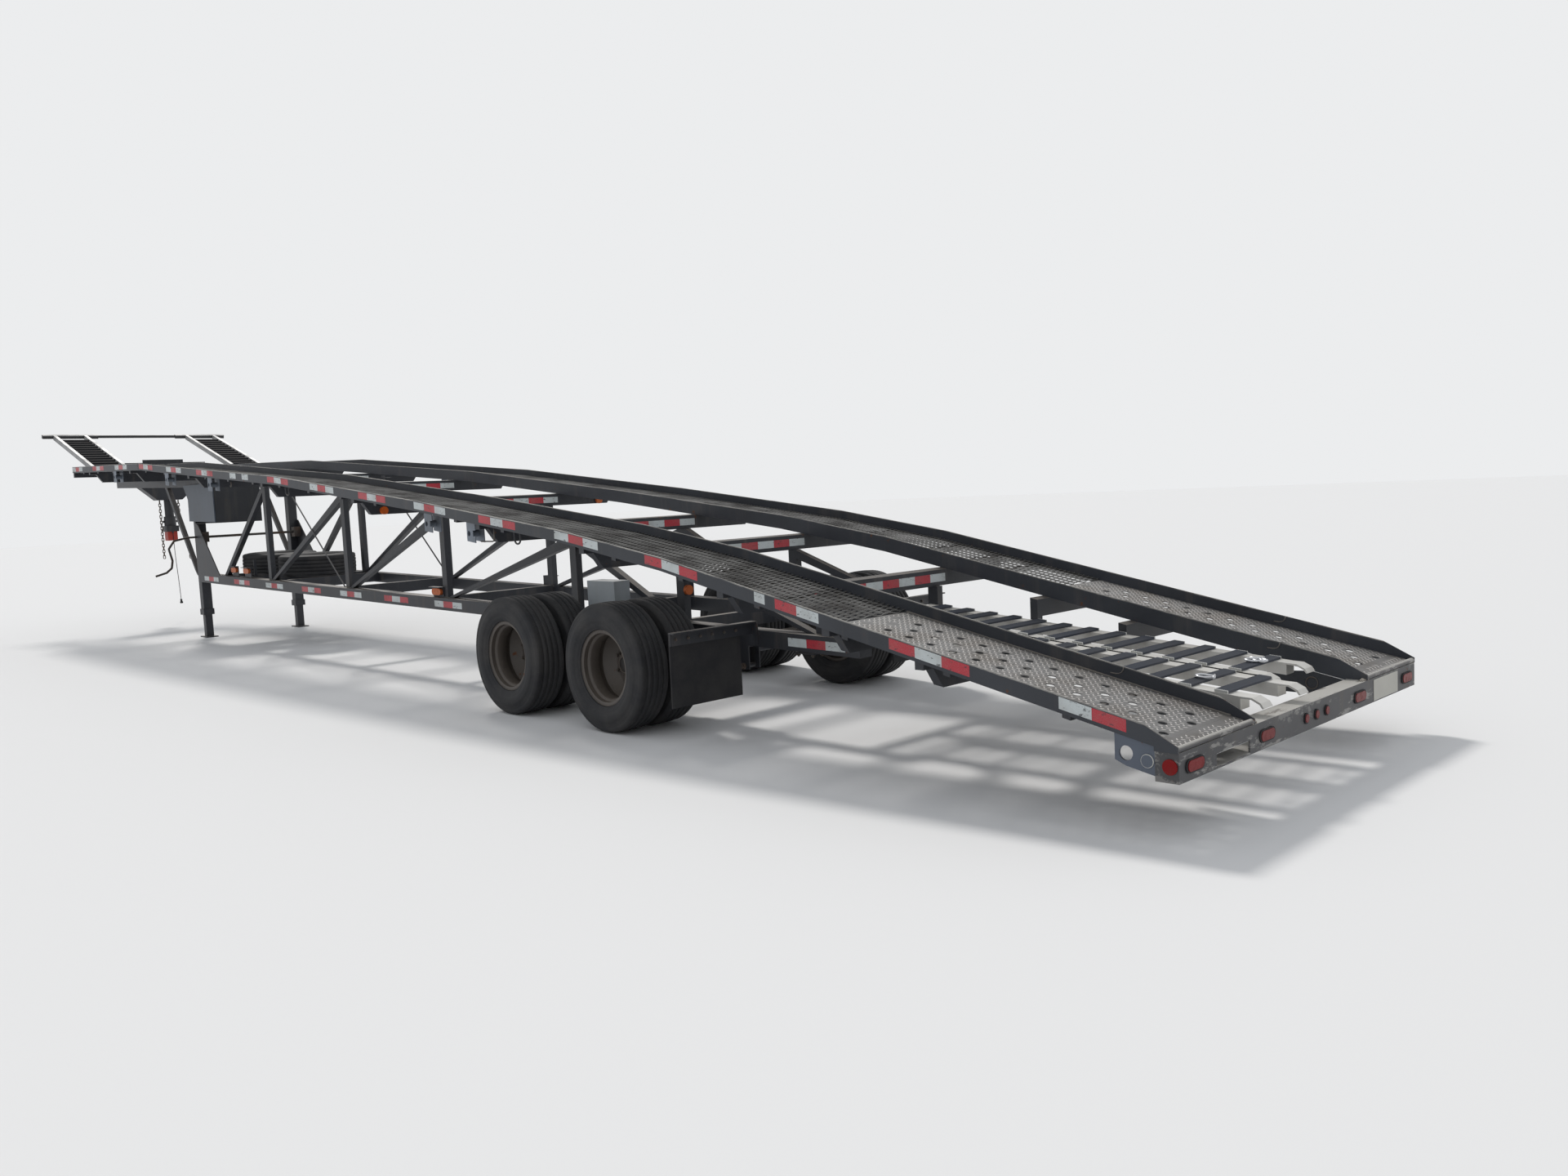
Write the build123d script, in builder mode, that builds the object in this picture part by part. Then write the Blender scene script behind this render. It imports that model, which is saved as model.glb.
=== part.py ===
"""Wedge car hauler trailer: two arched runways on a trussed frame with tandem twin-wheel axles.

Millimetres, +X forward to the tow vehicle, +Y to the left, +Z up from the ground.
Distances along the trailer are measured from its rear face.
"""
from build123d import *
import math
import os

os.makedirs("parts", exist_ok=True)

# Overall width; the length follows from the head ramps
overall_width = 2591
half_width = overall_width / 2

# Runways: the rails' top line, as distance from the rear face and height above the ground
deck_length = 15000
rail_line = [(0, 433), (3100, 1085), (4100, 1248), (6000, 1484), (8500, 1759), (12300, 2057), (deck_length, 2140)]
track_width = 667
tape_room = 0.5
chamfer_length = 155
chamfer_drop = 48

outer_rail_height = 76
outer_rail_wall = 6
outer_rail_leg = 70
inner_rail_height = 102
inner_rail_wall = 8
inner_rail_leg = 58
deck_thickness = 4
mesh_start = 1860
plate_hole = 40
plate_hole_pitch = 132.4
plate_hole_row = 116.8
plate_hole_first = 142
plate_hole_count = 12
member_width = 40
member_depth = 24
member_pitch = 610
member_first = 470

# Cross beams at the truss stations, with tapered outriggers under the runways
beam_depth = 102
beam_width = 50
beam_wall = 6
outrigger_tip = 30
outrigger_knee = 140
outrigger_stations = [1280, 1860]
beam_stations = [2630, 3890, 5100, 7000, 8850, 10760, 12685, 14300]

# Lower frame
chord_depth = 102
chord_width = 102
chord_inset = 33
chord_start = 2250
chord_rear_height = 476
chord_rise = 0.0177
post_length = 76
post_width = 51
post_inset = 51
post_stations = [2630, 3890, 5100, 7010, 8900, 10800]
lower_member_depth = 102
lower_member_width = 51
lower_member_step = 10
thin_brace = 25

# Rear end
bumper_depth = 100
bumper_bottom = 240
bumper_top = 360
bumper_wall = 8
bumper_slot_inset = 51.5
bumper_slot_length = 300
cap_bar_diameter = 26
side_plate_wall = 10
side_plate_length = 172
side_plate_bottom = 285
side_hole = 60
side_hole_x = 223
side_hole_z = 336
stub_diameter = 50

# Running gear
seat_gap = 0.3
rear_axle = 3766
front_axle = 4870
tyre_radius = 400
tyre_width = 235
rim_radius = 235
rim_seat_radius = 222
wheel_inset = 20.5
wheel_outer_face = half_width - wheel_inset
dual_spacing = 267
hub_radius = 105
drum_radius = 190
axle_radius = 63.5
spring_width = 76
hanger_width = 90

# Landing legs
leg_x = 12800
leg_tube = 102
jack_tube = 80
leg_collar = 122
leg_collar_height = 60
foot_size = 220
foot_thickness = 12
leg_tube_bottom = 280
gusset_reach = 610
gusset_top = 1340
gear_box = 110
shaft_height = 1195
shaft_diameter = 30
crank_diameter = 24

# Neck and coupler
neck_drop = inner_rail_height + beam_depth
neck_depth = 86
neck_width = 50
nose_reach = 760
coupler_setback = 110
coupler_tube = 114
coupler_bottom = 1250
coupler_body = 80
coupler_collar = 210
ball_radius = 30
socket_depth = 50
latch_height = 125
nose_bar_height = 2210
nose_plate_height = 2250

# Head ramps
hinge_reach = 40
hinge_drop = 20
hinge_pin = 25
ramp_angle = 16.4
head_ramp_length = 1780
head_ramp_width = 420
head_rail_width = 40
head_rail_depth = 64
head_slat_pitch = 130
bar_size = 50

# Toolbox
box_rear = 12040
box_front = 12740
box_right = 100
box_bottom = 1355
box_wall = 4
door_wall = 12
door_top = 1810

# Places that follow from the sizes above
rail_face = half_width - tape_room
inner_face = half_width - track_width
chord_face = inner_face - chord_inset
chord_inner = chord_face - chord_width
post_face = chord_face - post_inset
chord_end = leg_x - leg_tube / 2
leg_y = chord_face - leg_tube / 2
nose_x = deck_length + nose_reach
coupler_x = nose_x - coupler_setback
hinge_x = deck_length + hinge_reach
box_left = inner_face - 16
head_ramp_inner = inner_face + 21.5
bar_outer = half_width - 95.5
bar_inner = inner_face - 118.5
bumper_slot_inner = inner_face + bumper_slot_inset
bumper_slot_outer = bumper_slot_inner + bumper_slot_length
hub_mid = wheel_outer_face - tyre_width / 2 - dual_spacing / 2
backing_face = hub_mid - 344

# Overall length, from the lamps' faces to the head ramps' bars at rest
lamp_depth = 9
ramp_tilt = math.radians(ramp_angle)
bar_below = bar_size - head_rail_depth / 2
ramp_reach = (head_ramp_length + bar_size) * math.cos(ramp_tilt) + bar_below * math.sin(ramp_tilt)
overall_length = lamp_depth + hinge_x + ramp_reach
rear = lamp_depth - overall_length / 2

# Mud flaps
flap_x = 3130

# Stored loading ramps
stored_length = 2300
stored_width = 470
stored_rail = 90
stored_depth = 60
stored_slope = 0.088
stored_rear_height = 371


def rail_height(x):
    """Height of the rails' top line at a distance from the rear face"""
    for (x0, z0), (x1, z1) in zip(rail_line, rail_line[1:]):
        if x <= x1:
            return z0 + (z1 - z0) * (x - x0) / (x1 - x0)
    return z1 + (z1 - z0) * (x - x1) / (x1 - x0)


def chord_bottom(x):
    """Height of the lower chord's underside"""
    return chord_rear_height + (x - chord_start) * chord_rise


def chord_top(x):
    """Height of the lower chord's upper side"""
    return chord_bottom(x) + chord_depth


def side_prism(points, y0, y1, mode=Mode.ADD):
    """Solid with a side outline of (distance, height) points, from y0 to the larger y1"""
    with BuildSketch(Plane.XZ.offset(-y1)) as outline:
        with BuildLine():
            Polyline(*[(rear + x, z) for x, z in points], close=True)
        make_face()
    extrude(outline.sketch, amount=y1 - y0, mode=mode)


def rail_slab(x0, x1, drop_top, drop_bottom, y0, y1, mode=Mode.ADD):
    """Solid between two drops below the rails' top line"""
    xs = [x0] + [x for x, z in rail_line if x0 < x < x1] + [x1]
    upper = [(x, rail_height(x) - drop_top) for x in xs]
    lower = [(x, rail_height(x) - drop_bottom) for x in reversed(xs)]
    side_prism(upper + lower, y0, y1, mode)


def block(x0, x1, y0, y1, z0, z1, mode=Mode.ADD):
    """Box between two corners"""
    side_prism([(x0, z0), (x1, z0), (x1, z1), (x0, z1)], y0, y1, mode)


def rod(start, end, radius, mode=Mode.ADD):
    """Round bar between two points given as (distance, y, height)"""
    a = Vector(rear + start[0], start[1], start[2])
    b = Vector(rear + end[0], end[1], end[2])
    with BuildSketch(Plane(origin=a, z_dir=b - a)) as section:
        Circle(radius)
    extrude(section.sketch, amount=(b - a).length, mode=mode)


def finish(part, name):
    """Label a piece and write its file"""
    part.part.label = name
    export_step(part.part, f"parts/{name}.step")


deck_drop = outer_rail_height - outer_rail_wall - deck_thickness
member_drop = deck_drop + deck_thickness

# Outer rails: angles with the foot of the angle under the deck
with BuildPart() as outer_rails:
    face = rail_face
    xs = [x for x, z in rail_line if chamfer_length < x < deck_length]
    upper = [(x, rail_height(x)) for x in [chamfer_length] + xs + [deck_length]]
    lower = [(x, rail_height(x) - outer_rail_height) for x in [deck_length] + xs[::-1] + [bumper_depth]]
    tip = [(bumper_depth, bumper_top), (0, bumper_top), (0, rail_height(0) - chamfer_drop)]
    side_prism(upper + lower + tip, face - outer_rail_wall, face)
    leg_in = face - outer_rail_wall - outer_rail_leg
    rail_slab(bumper_depth, deck_length, outer_rail_height - outer_rail_wall, outer_rail_height, leg_in, face)
    mirror(about=Plane.XZ)
finish(outer_rails, "outer_rails")

# Inner rails: deeper angles whose feet carry the deck's cross members
with BuildPart() as inner_rails:
    face = inner_face
    xs = [x for x, z in rail_line if chamfer_length < x < deck_length]
    upper = [(x, rail_height(x)) for x in [chamfer_length] + xs + [deck_length]]
    ends = [deck_length] + xs[::-1] + [bumper_depth]
    lower = [(x, rail_height(x) - inner_rail_height) for x in ends]
    tip = [(bumper_depth, bumper_top), (0, bumper_top), (0, rail_height(0) - chamfer_drop)]
    side_prism(upper + lower + tip, face, face + inner_rail_wall)
    leg_top = inner_rail_height - inner_rail_wall
    rail_slab(bumper_depth, deck_length, leg_top, inner_rail_height, face, face + inner_rail_wall + inner_rail_leg)
    mirror(about=Plane.XZ)
finish(inner_rails, "inner_rails")

# Deck cross members between the rails, left out where a cross beam stands
deck_inner = inner_face + inner_rail_wall
deck_outer = rail_face - outer_rail_wall
member_count = int((deck_length - member_first - member_width) / member_pitch) + 1
member_places = [member_first + member_pitch * i for i in range(member_count)]
near_beam = member_width + beam_width
with BuildPart() as deck_cross_members:
    for x in member_places:
        if min(abs(x - s) for s in outrigger_stations + beam_stations + [z for z, h in rail_line]) < near_beam:
            continue
        rail_slab(x, x + member_width, member_drop, member_drop + member_depth, deck_inner, deck_outer - outer_rail_leg)
        rail_slab(x, x + member_width, outer_rail_height, member_drop + member_depth, deck_inner, deck_outer)
    mirror(about=Plane.XZ)
finish(deck_cross_members, "deck_cross_members")

# Tread plates with staggered round holes
with BuildPart() as tread_plates:
    rail_slab(bumper_depth, mesh_start, deck_drop, member_drop, deck_inner + 1, deck_outer - 1)
    lane = (deck_inner + deck_outer) / 2
    places = []
    for i in range(plate_hole_count):
        x = plate_hole_first + i * plate_hole_pitch
        for row, shift in ((-1.5, 0.5), (-0.5, 0), (0.5, 0.5), (1.5, 0)):
            places.append((x + shift * plate_hole_pitch, lane + row * plate_hole_row))
    with BuildSketch(Plane.XY):
        with Locations(*[(rear + x, y) for x, y in places]):
            Circle(plate_hole / 2)
    extrude(amount=rail_height(mesh_start), mode=Mode.SUBTRACT)
    mirror(about=Plane.XZ)
finish(tread_plates, "tread_plates")

# Expanded metal decks, here as sheets with a plain grid of openings that meet where the rails bend
panel_gap = 0.4
panel_ends = [mesh_start] + [x for x, z in rail_line if mesh_start < x < deck_length] + [deck_length]
openings_across = 4
opening_pitch = 320
opening_bar = 22
with BuildPart() as mesh_decks:
    for x0, x1 in zip(panel_ends, panel_ends[1:]):
        rail_slab(x0, x1 - panel_gap, deck_drop, member_drop, deck_inner + 1, deck_outer - 1)
        count = round((x1 - x0) / opening_pitch)
        pitch = (x1 - x0) / count
        cell = (deck_outer - deck_inner - 2) / openings_across
        with BuildSketch(Plane.XY):
            with Locations((rear + (x0 + x1) / 2, lane)):
                with GridLocations(pitch, cell, count, openings_across):
                    Rectangle(pitch - opening_bar, cell - opening_bar)
        extrude(amount=rail_height(deck_length), mode=Mode.SUBTRACT)
    mirror(about=Plane.XZ)
finish(mesh_decks, "mesh_decks")

# Cross beams: channels open to the front, with outriggers that taper to the outer rails
beam_low = inner_rail_height + beam_depth
foot_edge = inner_face + inner_rail_wall + inner_rail_leg


def outrigger(x, y_start):
    """Pair of tapered arms from y_start out to the outer rails, with their front faces at x"""
    back = x - beam_width
    z_low = rail_height(back) - beam_low
    z_tip = rail_height(back) - outer_rail_height - outrigger_tip
    for side in (-1, 1):
        y0, y1 = sorted((side * y_start, side * foot_edge))
        rail_slab(back, x, inner_rail_height, beam_low, y0, y1)
        y0, y1 = sorted((side * foot_edge, side * deck_outer))
        rail_slab(back, x, outer_rail_height, beam_low, y0, y1)
        with BuildSketch(Plane.YZ.offset(rear + back - beam_width)) as wedge:
            with BuildLine():
                Polyline((side * (deck_outer - outrigger_knee), z_low), (side * (deck_outer - outer_rail_leg), z_tip),
                         (side * (deck_outer + 1), z_tip), (side * (deck_outer + 1), z_low - 1),
                         (side * (deck_outer - outrigger_knee), z_low - 1), close=True)
            make_face()
        extrude(wedge.sketch, amount=3 * beam_width, mode=Mode.SUBTRACT)


with BuildPart() as cross_beams:
    for x in beam_stations:
        back = x - beam_width
        rail_slab(back, x, inner_rail_height, beam_low, -post_face, post_face)
        rail_slab(back + beam_wall, x, inner_rail_height + beam_wall, beam_low - beam_wall,
                  -post_face, post_face, Mode.SUBTRACT)
        outrigger(x, post_face)
    for x in outrigger_stations:
        outrigger(x, post_face)
finish(cross_beams, "cross_beams")

# Strap brackets under the outer rails: an outer plate with a hole and a notch, an inner plate, and a spool
bracket_length = 110
bracket_depth = 130
bracket_wall = 6
bracket_hole = 37
strap_places = [5105, 5700, 10070, 11335, 13165]
with BuildPart() as strap_brackets:
    out = rail_face - 2
    back_face = rail_face - outer_rail_wall - outer_rail_leg
    for x in strap_places:
        x1 = x + bracket_length
        for y in (out, back_face + bracket_wall):
            side_prism([(x, rail_height(x) - outer_rail_height), (x1, rail_height(x1) - outer_rail_height),
                        (x1, rail_height(x1) - outer_rail_height - bracket_depth),
                        (x, rail_height(x) - outer_rail_height - bracket_depth)], y - bracket_wall, y)
        z = rail_height(x) - outer_rail_height - bracket_depth / 2
        block(x - 1, x + 30, out - bracket_wall - 1, out + 1, z - 20, z + 20, Mode.SUBTRACT)
        axis_x = x1 - 28
        rod((axis_x, back_face + bracket_wall, z), (axis_x, out - bracket_wall, z), 24)
        rod((axis_x, out - 45, z), (axis_x, out + 1, z), bracket_hole / 2, Mode.SUBTRACT)
    mirror(about=Plane.XZ)
finish(strap_brackets, "strap_brackets")

# Round bar loops under the outer rails
loop_places = [4600, 8300]
loop_width = 70
loop_depth = 75
loop_bar = 6
with BuildPart() as tie_loops:
    y = rail_face - outer_rail_wall - outer_rail_leg / 2
    for x in loop_places:
        z0 = rail_height(x - loop_bar) - outer_rail_height
        z1 = rail_height(x + loop_width - loop_bar) - outer_rail_height
        low = z0 - loop_depth
        points = [Vector(rear + x, y, z0), Vector(rear + x, y, low), Vector(rear + x + loop_width, y, low),
                  Vector(rear + x + loop_width, y, z1)]
        with BuildLine() as loop:
            FilletPolyline(*points, radius=loop_width / 2 - 2)
        with BuildSketch(Plane(origin=points[0], z_dir=(0, 0, -1))):
            Circle(loop_bar)
        sweep(path=loop.wire())
    mirror(about=Plane.XZ)
finish(tie_loops, "tie_loops")

# Lower chords: closed tubes that rise towards the landing legs
with BuildPart() as lower_chords:
    ends = (chord_start, chord_end)
    outline = [(x, chord_bottom(x)) for x in ends] + [(x, chord_top(x)) for x in reversed(ends)]
    side_prism(outline, chord_inner, chord_face)
    mirror(about=Plane.XZ)
finish(lower_chords, "lower_chords")

# Truss posts stand on the chords and carry the cross beams
post_inner = post_face - post_width
with BuildPart() as truss_posts:
    for x in post_stations:
        back = x - post_length
        beam = min(beam_stations, key=lambda b: abs(b - x))
        top = rail_height(beam - beam_width) - beam_low
        side_prism([(back, chord_top(back)), (x, chord_top(x)), (x, top), (back, top)], post_inner, post_face)
    mirror(about=Plane.XZ)
finish(truss_posts, "truss_posts")

# Truss diagonals: foot on the chord, head against a post; columns are foot and post side
brace_depth = 75
front_bays = [(leg_x - leg_tube / 2 - gusset_reach - 30, 10800), (10800 - post_length, 8900),
              (8900 - post_length, 7010), (7010 - post_length, 5100)]
rear_bays = [(3890, 5100 - post_length), (2630, 3890 - post_length)]
with BuildPart() as truss_diagonals:
    for foot, head in front_bays:
        top = rail_height(head) - beam_low
        heel = foot - brace_depth
        side_prism([(foot, chord_top(foot)), (heel, chord_top(heel)), (head, top - brace_depth), (head, top)],
                   post_inner, post_face)
    for foot, head in rear_bays:
        top = rail_height(head) - beam_low
        toe = foot + brace_depth
        side_prism([(foot, chord_top(foot)), (toe, chord_top(toe)), (head, top - brace_depth * 0.8), (head, top)],
                   post_inner, post_face)
    # Thin crossing braces on the outside of the second bay from the front
    foot, head = 8900, 10200
    top = rail_height(head) - inner_rail_height - member_depth
    side_prism([(foot, chord_top(foot)), (foot + thin_brace, chord_top(foot + thin_brace)),
                (head + thin_brace, top), (head, top)], post_face, post_face + 6)
    block(head - 30, head + 60, post_face, inner_face, top, top + member_depth)
    mirror(about=Plane.XZ)
finish(truss_diagonals, "truss_diagonals")

# Cross members between the chords, at the posts and under the spare wheels
spare_members = [10450, 11450, 12050]
with BuildPart() as lower_cross_members:
    for front in [x - post_length + lower_member_width for x in post_stations] + spare_members:
        back = front - lower_member_width
        up = lower_member_step
        side_prism([(back, chord_top(back) + up - lower_member_depth), (front, chord_top(front) + up - lower_member_depth),
                    (front, chord_top(front) + up), (back, chord_top(back) + up)], -chord_inner, chord_inner)
    front = spare_members[1]
    block(front - 30, front - 22, chord_inner - 58, chord_inner - 28, chord_top(front) + lower_member_step, 930)
finish(lower_cross_members, "lower_cross_members")

# Hangers under the inner rails and bars between them that carry the stored ramps
tray_depth = 50
with BuildPart() as ramp_tray:
    for x in outrigger_stations:
        back = x - beam_width
        low_back = stored_rear_height + stored_slope * back
        low_front = stored_rear_height + stored_slope * x
        for side in (-1, 1):
            y0, y1 = sorted((side * post_inner, side * post_face))
            side_prism([(back, low_back - tray_depth), (x, low_front - tray_depth),
                        (x, rail_height(x) - inner_rail_height),
                        (back, rail_height(back) - inner_rail_height)], y0, y1)
        side_prism([(back, low_back - tray_depth), (x, low_front - tray_depth), (x, low_front), (back, low_back)],
                   -post_inner, post_inner)
finish(ramp_tray, "ramp_tray")

# Rear bumper: a channel with its back to the rear and cap bars at the runways
with BuildPart() as rear_bumper:
    bar_end = deck_outer
    block(0, bumper_depth, -bar_end, bar_end, bumper_bottom, bumper_top)
    block(bumper_wall, bumper_depth, -bar_end + bumper_wall, bar_end - bumper_wall,
          bumper_bottom + bumper_wall, bumper_top - bumper_wall, Mode.SUBTRACT)
    block(-1, bumper_wall + 1, bumper_slot_inner, bumper_slot_outer, bumper_bottom + 10, bumper_bottom + 62,
          Mode.SUBTRACT)
    for side in (-1, 1):
        y0, y1 = sorted((side * deck_inner, side * deck_outer))
        radius = cap_bar_diameter / 2
        rod((radius, y0, bumper_top + radius - 2), (radius, y1, bumper_top + radius - 2), radius)
finish(rear_bumper, "rear_bumper")

# Side plates under the outer rails ahead of the bumper
with BuildPart() as rear_side_plates:
    x1 = bumper_depth + side_plate_length
    plate_out = deck_outer
    side_prism([(bumper_depth, bumper_bottom + 20), (x1 - 50, side_plate_bottom), (x1, side_plate_bottom + 20),
                (x1, rail_height(x1) - outer_rail_height),
                (bumper_depth, rail_height(bumper_depth) - outer_rail_height)],
               plate_out - side_plate_wall, plate_out)
    with BuildSketch(Plane.XZ.offset(-half_width)):
        with Locations((rear + side_hole_x, side_hole_z)):
            Circle(side_hole / 2)
    extrude(amount=60, mode=Mode.SUBTRACT)
    rod((bumper_depth + 30, plate_out - 30, 316), (bumper_depth + 30, half_width, 316), stub_diameter / 2)
    mirror(about=Plane.XZ)
finish(rear_side_plates, "rear_side_plates")

# Neck frame: side beams, nose beam with its tapered plate, top plate, and raked braces to the legs
neck_low = neck_drop + neck_depth
neck_inner = chord_face - neck_width
with BuildPart() as neck_frame:
    start = leg_x + leg_tube / 2
    for side in (-1, 1):
        y0, y1 = sorted((side * neck_inner, side * chord_face))
        rail_slab(start, nose_x, neck_drop, neck_low, y0, y1)
        rail_slab(12685, leg_x - leg_tube / 2, inner_rail_height, beam_low, y0, y1)
        head = leg_x + 900
        side_prism([(start, 740), (start + 20, 740), (start + 80, 790), (head + 80, rail_height(head + 80) - neck_low),
                    (head, rail_height(head) - neck_low)], y0, y1)
        y0, y1 = sorted((side * (neck_inner - 60), side * neck_inner))
        block(nose_x - 60, nose_x - 10, y0, y1, rail_height(nose_x) - neck_drop, nose_bar_height - 40)
    rail_slab(nose_x - 220, nose_x, neck_drop, neck_low, -neck_inner, neck_inner)
    rail_slab(deck_length - 750, deck_length - 700, neck_drop, neck_low, -neck_inner, neck_inner)
    block(nose_x - 60, nose_x - 10, -neck_inner, neck_inner, nose_bar_height - 40, nose_bar_height)
    block(nose_x - 40, nose_x - 30, -260, 260, nose_bar_height, nose_plate_height)
    z = rail_height(nose_x - 200) - neck_low
    with BuildSketch(Plane.YZ.offset(rear + nose_x - 200)):
        with BuildLine():
            Polyline((-360, z), (360, z), (160, z - 180), (-160, z - 180), close=True)
        make_face()
    extrude(amount=180)
finish(neck_frame, "neck_frame")

# Coupler: tube under the nose, its body with the ball socket, and the red latch box below
tube_top = rail_height(nose_x - 200) - neck_low - 180
cable_x = coupler_x - 82
with BuildPart() as coupler:
    low = coupler_bottom + coupler_body
    rod((coupler_x, 0, low), (coupler_x, 0, tube_top), coupler_tube / 2)
    rod((coupler_x, 0, low), (coupler_x, 0, coupler_bottom + coupler_collar), coupler_tube / 2 + 18)
    block(coupler_x - 95, coupler_x + 95, -80, 80, coupler_bottom, low)
    rod((coupler_x, -90, low + 60), (coupler_x, 90, low + 60), 16)
    rod((cable_x, 0, coupler_bottom - 20), (cable_x, 0, low), 10)
    rod((coupler_x, 0, coupler_bottom - 1), (coupler_x, 0, coupler_bottom + socket_depth), ball_radius, Mode.SUBTRACT)
finish(coupler, "coupler")

with BuildPart() as coupler_latch:
    low = coupler_bottom - latch_height
    block(coupler_x - 68, coupler_x + 68, -62, 62, low, coupler_bottom)
    rod((coupler_x, 0, low - 1), (coupler_x, 0, coupler_bottom + 1), ball_radius + 3, Mode.SUBTRACT)
finish(coupler_latch, "coupler_latch")

# Cable with its plug, hanging from a gland in the coupler's underside; columns are distance, y and height
cable_diameter = 8
cable_route = [(cable_x, 0, coupler_bottom - 20), (cable_x, 0, 1060), (cable_x - 9, -4, 830),
               (cable_x - 22, -14, 560), (cable_x - 20, -22, 306)]
with BuildPart() as trailer_cable:
    route = [Vector(rear + x, y, z) for x, y, z in cable_route]
    radii = []
    for a, b, c in zip(route, route[1:], route[2:]):
        turn = math.radians((b - a).get_angle(c - b))
        radii.append(0.45 * min((b - a).length, (c - b).length) / math.tan(turn / 2))
    with BuildLine() as hang:
        FilletPolyline(*route, radius=radii)
    hang_wire = hang.wire()
    with BuildSketch(Plane(origin=hang_wire @ 0, z_dir=hang_wire % 0)):
        Circle(cable_diameter / 2)
    sweep(path=hang_wire)
    print("cable bends", [round(r) for r in radii], "length", round(hang_wire.length),
          "fill", round(trailer_cable.part.volume / (math.pi * cable_diameter ** 2 / 4 * hang_wire.length), 4))
finish(trailer_cable, "trailer_cable")

with BuildPart() as cable_plug:
    tip = hang_wire @ 1
    along = hang_wire % 1
    with BuildSketch(Plane(origin=tip, z_dir=along)):
        Circle(13)
    extrude(amount=34)
    with BuildSketch(Plane(origin=tip + along * 34, z_dir=along)):
        Circle(19)
    extrude(amount=24)
finish(cable_plug, "cable_plug")

# Safety chains from the nose plate, with a grab hook on the long one; columns are y and link count
link_inner = 42
link_bar = 8
link_width = 34
link_pitch = link_inner - 2.2
chain_x = nose_x - 100
chains = [(110, 20), (-130, 4)]
with BuildPart() as safety_chains:
    for y, count in chains:
        for i in range(count):
            z = tube_top - link_bar - link_inner / 2 - i * link_pitch
            turn = (1, 0, 0) if i % 2 else (0, 1, 0)
            centre = Vector(rear + chain_x, y, z) - Vector(*turn) * (link_bar / 2)
            with BuildSketch(Plane(origin=centre, x_dir=(0, 0, 1), z_dir=turn)) as link:
                SlotOverall(link_inner + 2 * link_bar, link_width)
                SlotOverall(link_inner, link_width - 2 * link_bar, mode=Mode.SUBTRACT)
            extrude(link.sketch, amount=link_bar)
finish(safety_chains, "safety_chains")

# Landing legs: square columns with a collar at the foot and a gusset plate on the chord behind
h = leg_tube / 2
column_top = rail_height(leg_x) - inner_rail_height
with BuildPart() as leg_columns:
    for side in (-1, 1):
        y0, y1 = sorted((side * (leg_y - h), side * (leg_y + h)))
        block(leg_x - h, leg_x + h, y0, y1, leg_tube_bottom, column_top)
        y = side * leg_y
        c = leg_collar / 2
        block(leg_x - c, leg_x + c, y - c, y + c, leg_tube_bottom - 10, leg_tube_bottom + leg_collar_height)
        back = leg_x - h - gusset_reach
        y0, y1 = sorted((side * (chord_face - 12), side * chord_face))
        side_prism([(back, chord_top(back)), (leg_x - h, chord_top(leg_x - h)), (leg_x - h, gusset_top),
                    (leg_x - h - 30, gusset_top)], y0, y1)
finish(leg_columns, "leg_columns")

# Jack legs inside the columns, with their feet on the ground
with BuildPart() as jack_legs:
    for side in (-1, 1):
        y = side * leg_y
        j = jack_tube / 2
        f = foot_size / 2
        block(leg_x - j, leg_x + j, y - j, y + j, foot_thickness, leg_tube_bottom - 10)
        block(leg_x - f, leg_x + f, y - f * 0.6, y + f * 0.6, 0, foot_thickness)
finish(jack_legs, "jack_legs")

# Jack gear boxes behind the legs, the cross shaft between them and the bent crank on the left
shaft_x = leg_x - h - gear_box / 2
crank_line = [(0, 1196), (95, 1196), (250, 1165), (315, 1075), (285, 935), (300, 850), (360, 800), (480, 768)]
with BuildPart() as jack_crank:
    for side in (-1, 1):
        y0, y1 = sorted((side * (chord_face - 12), side * (chord_face - 92)))
        block(shaft_x - gear_box / 2, leg_x - h, y0, y1, shaft_height - 60, shaft_height + 60)
    reach = chord_face - 92
    rod((shaft_x, -reach, shaft_height), (shaft_x, reach, shaft_height), shaft_diameter / 2)
    grip = [(rear + leg_x, chord_face + y, z) for y, z in crank_line]
    with BuildLine() as handle:
        FilletPolyline(*grip, radius=30)
    with BuildSketch(Plane(origin=grip[0], z_dir=(0, 1, 0))):
        Circle(crank_diameter / 2)
    sweep(path=handle.wire())
finish(jack_crank, "jack_crank")

# Toolbox behind the left leg, open to the left, and its door hinged at the upper edge
box_top = rail_height(12635) - beam_low
with BuildPart() as toolbox:
    block(box_rear, box_front, box_right, box_left, box_bottom, box_top)
    block(box_rear + box_wall, box_front - box_wall, box_right + box_wall, box_left,
          box_bottom + box_wall, box_top - box_wall, Mode.SUBTRACT)
finish(toolbox, "toolbox")

door_gap = 5
hinge_radius = 5
hinge_height = door_top + seat_gap + hinge_radius
with BuildPart() as toolbox_door:
    low = box_bottom + 10
    side_prism([(box_rear - 5, low), (leg_x + 85, low + 20), (leg_x + 75, 1640), (leg_x + 210, door_top),
                (box_rear - 5, door_top)], box_left + door_gap, box_left + door_gap + door_wall)
finish(toolbox_door, "toolbox_door")

with BuildPart() as toolbox_hinge:
    r = hinge_radius
    y = box_left + r + 1
    rod((box_rear + 10, y, hinge_height), (box_front - 10, y, hinge_height), r)
    block(box_rear + 10, box_front - 10, box_left, box_left + 2, hinge_height - r, box_top)
finish(toolbox_hinge, "toolbox_hinge")

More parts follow.
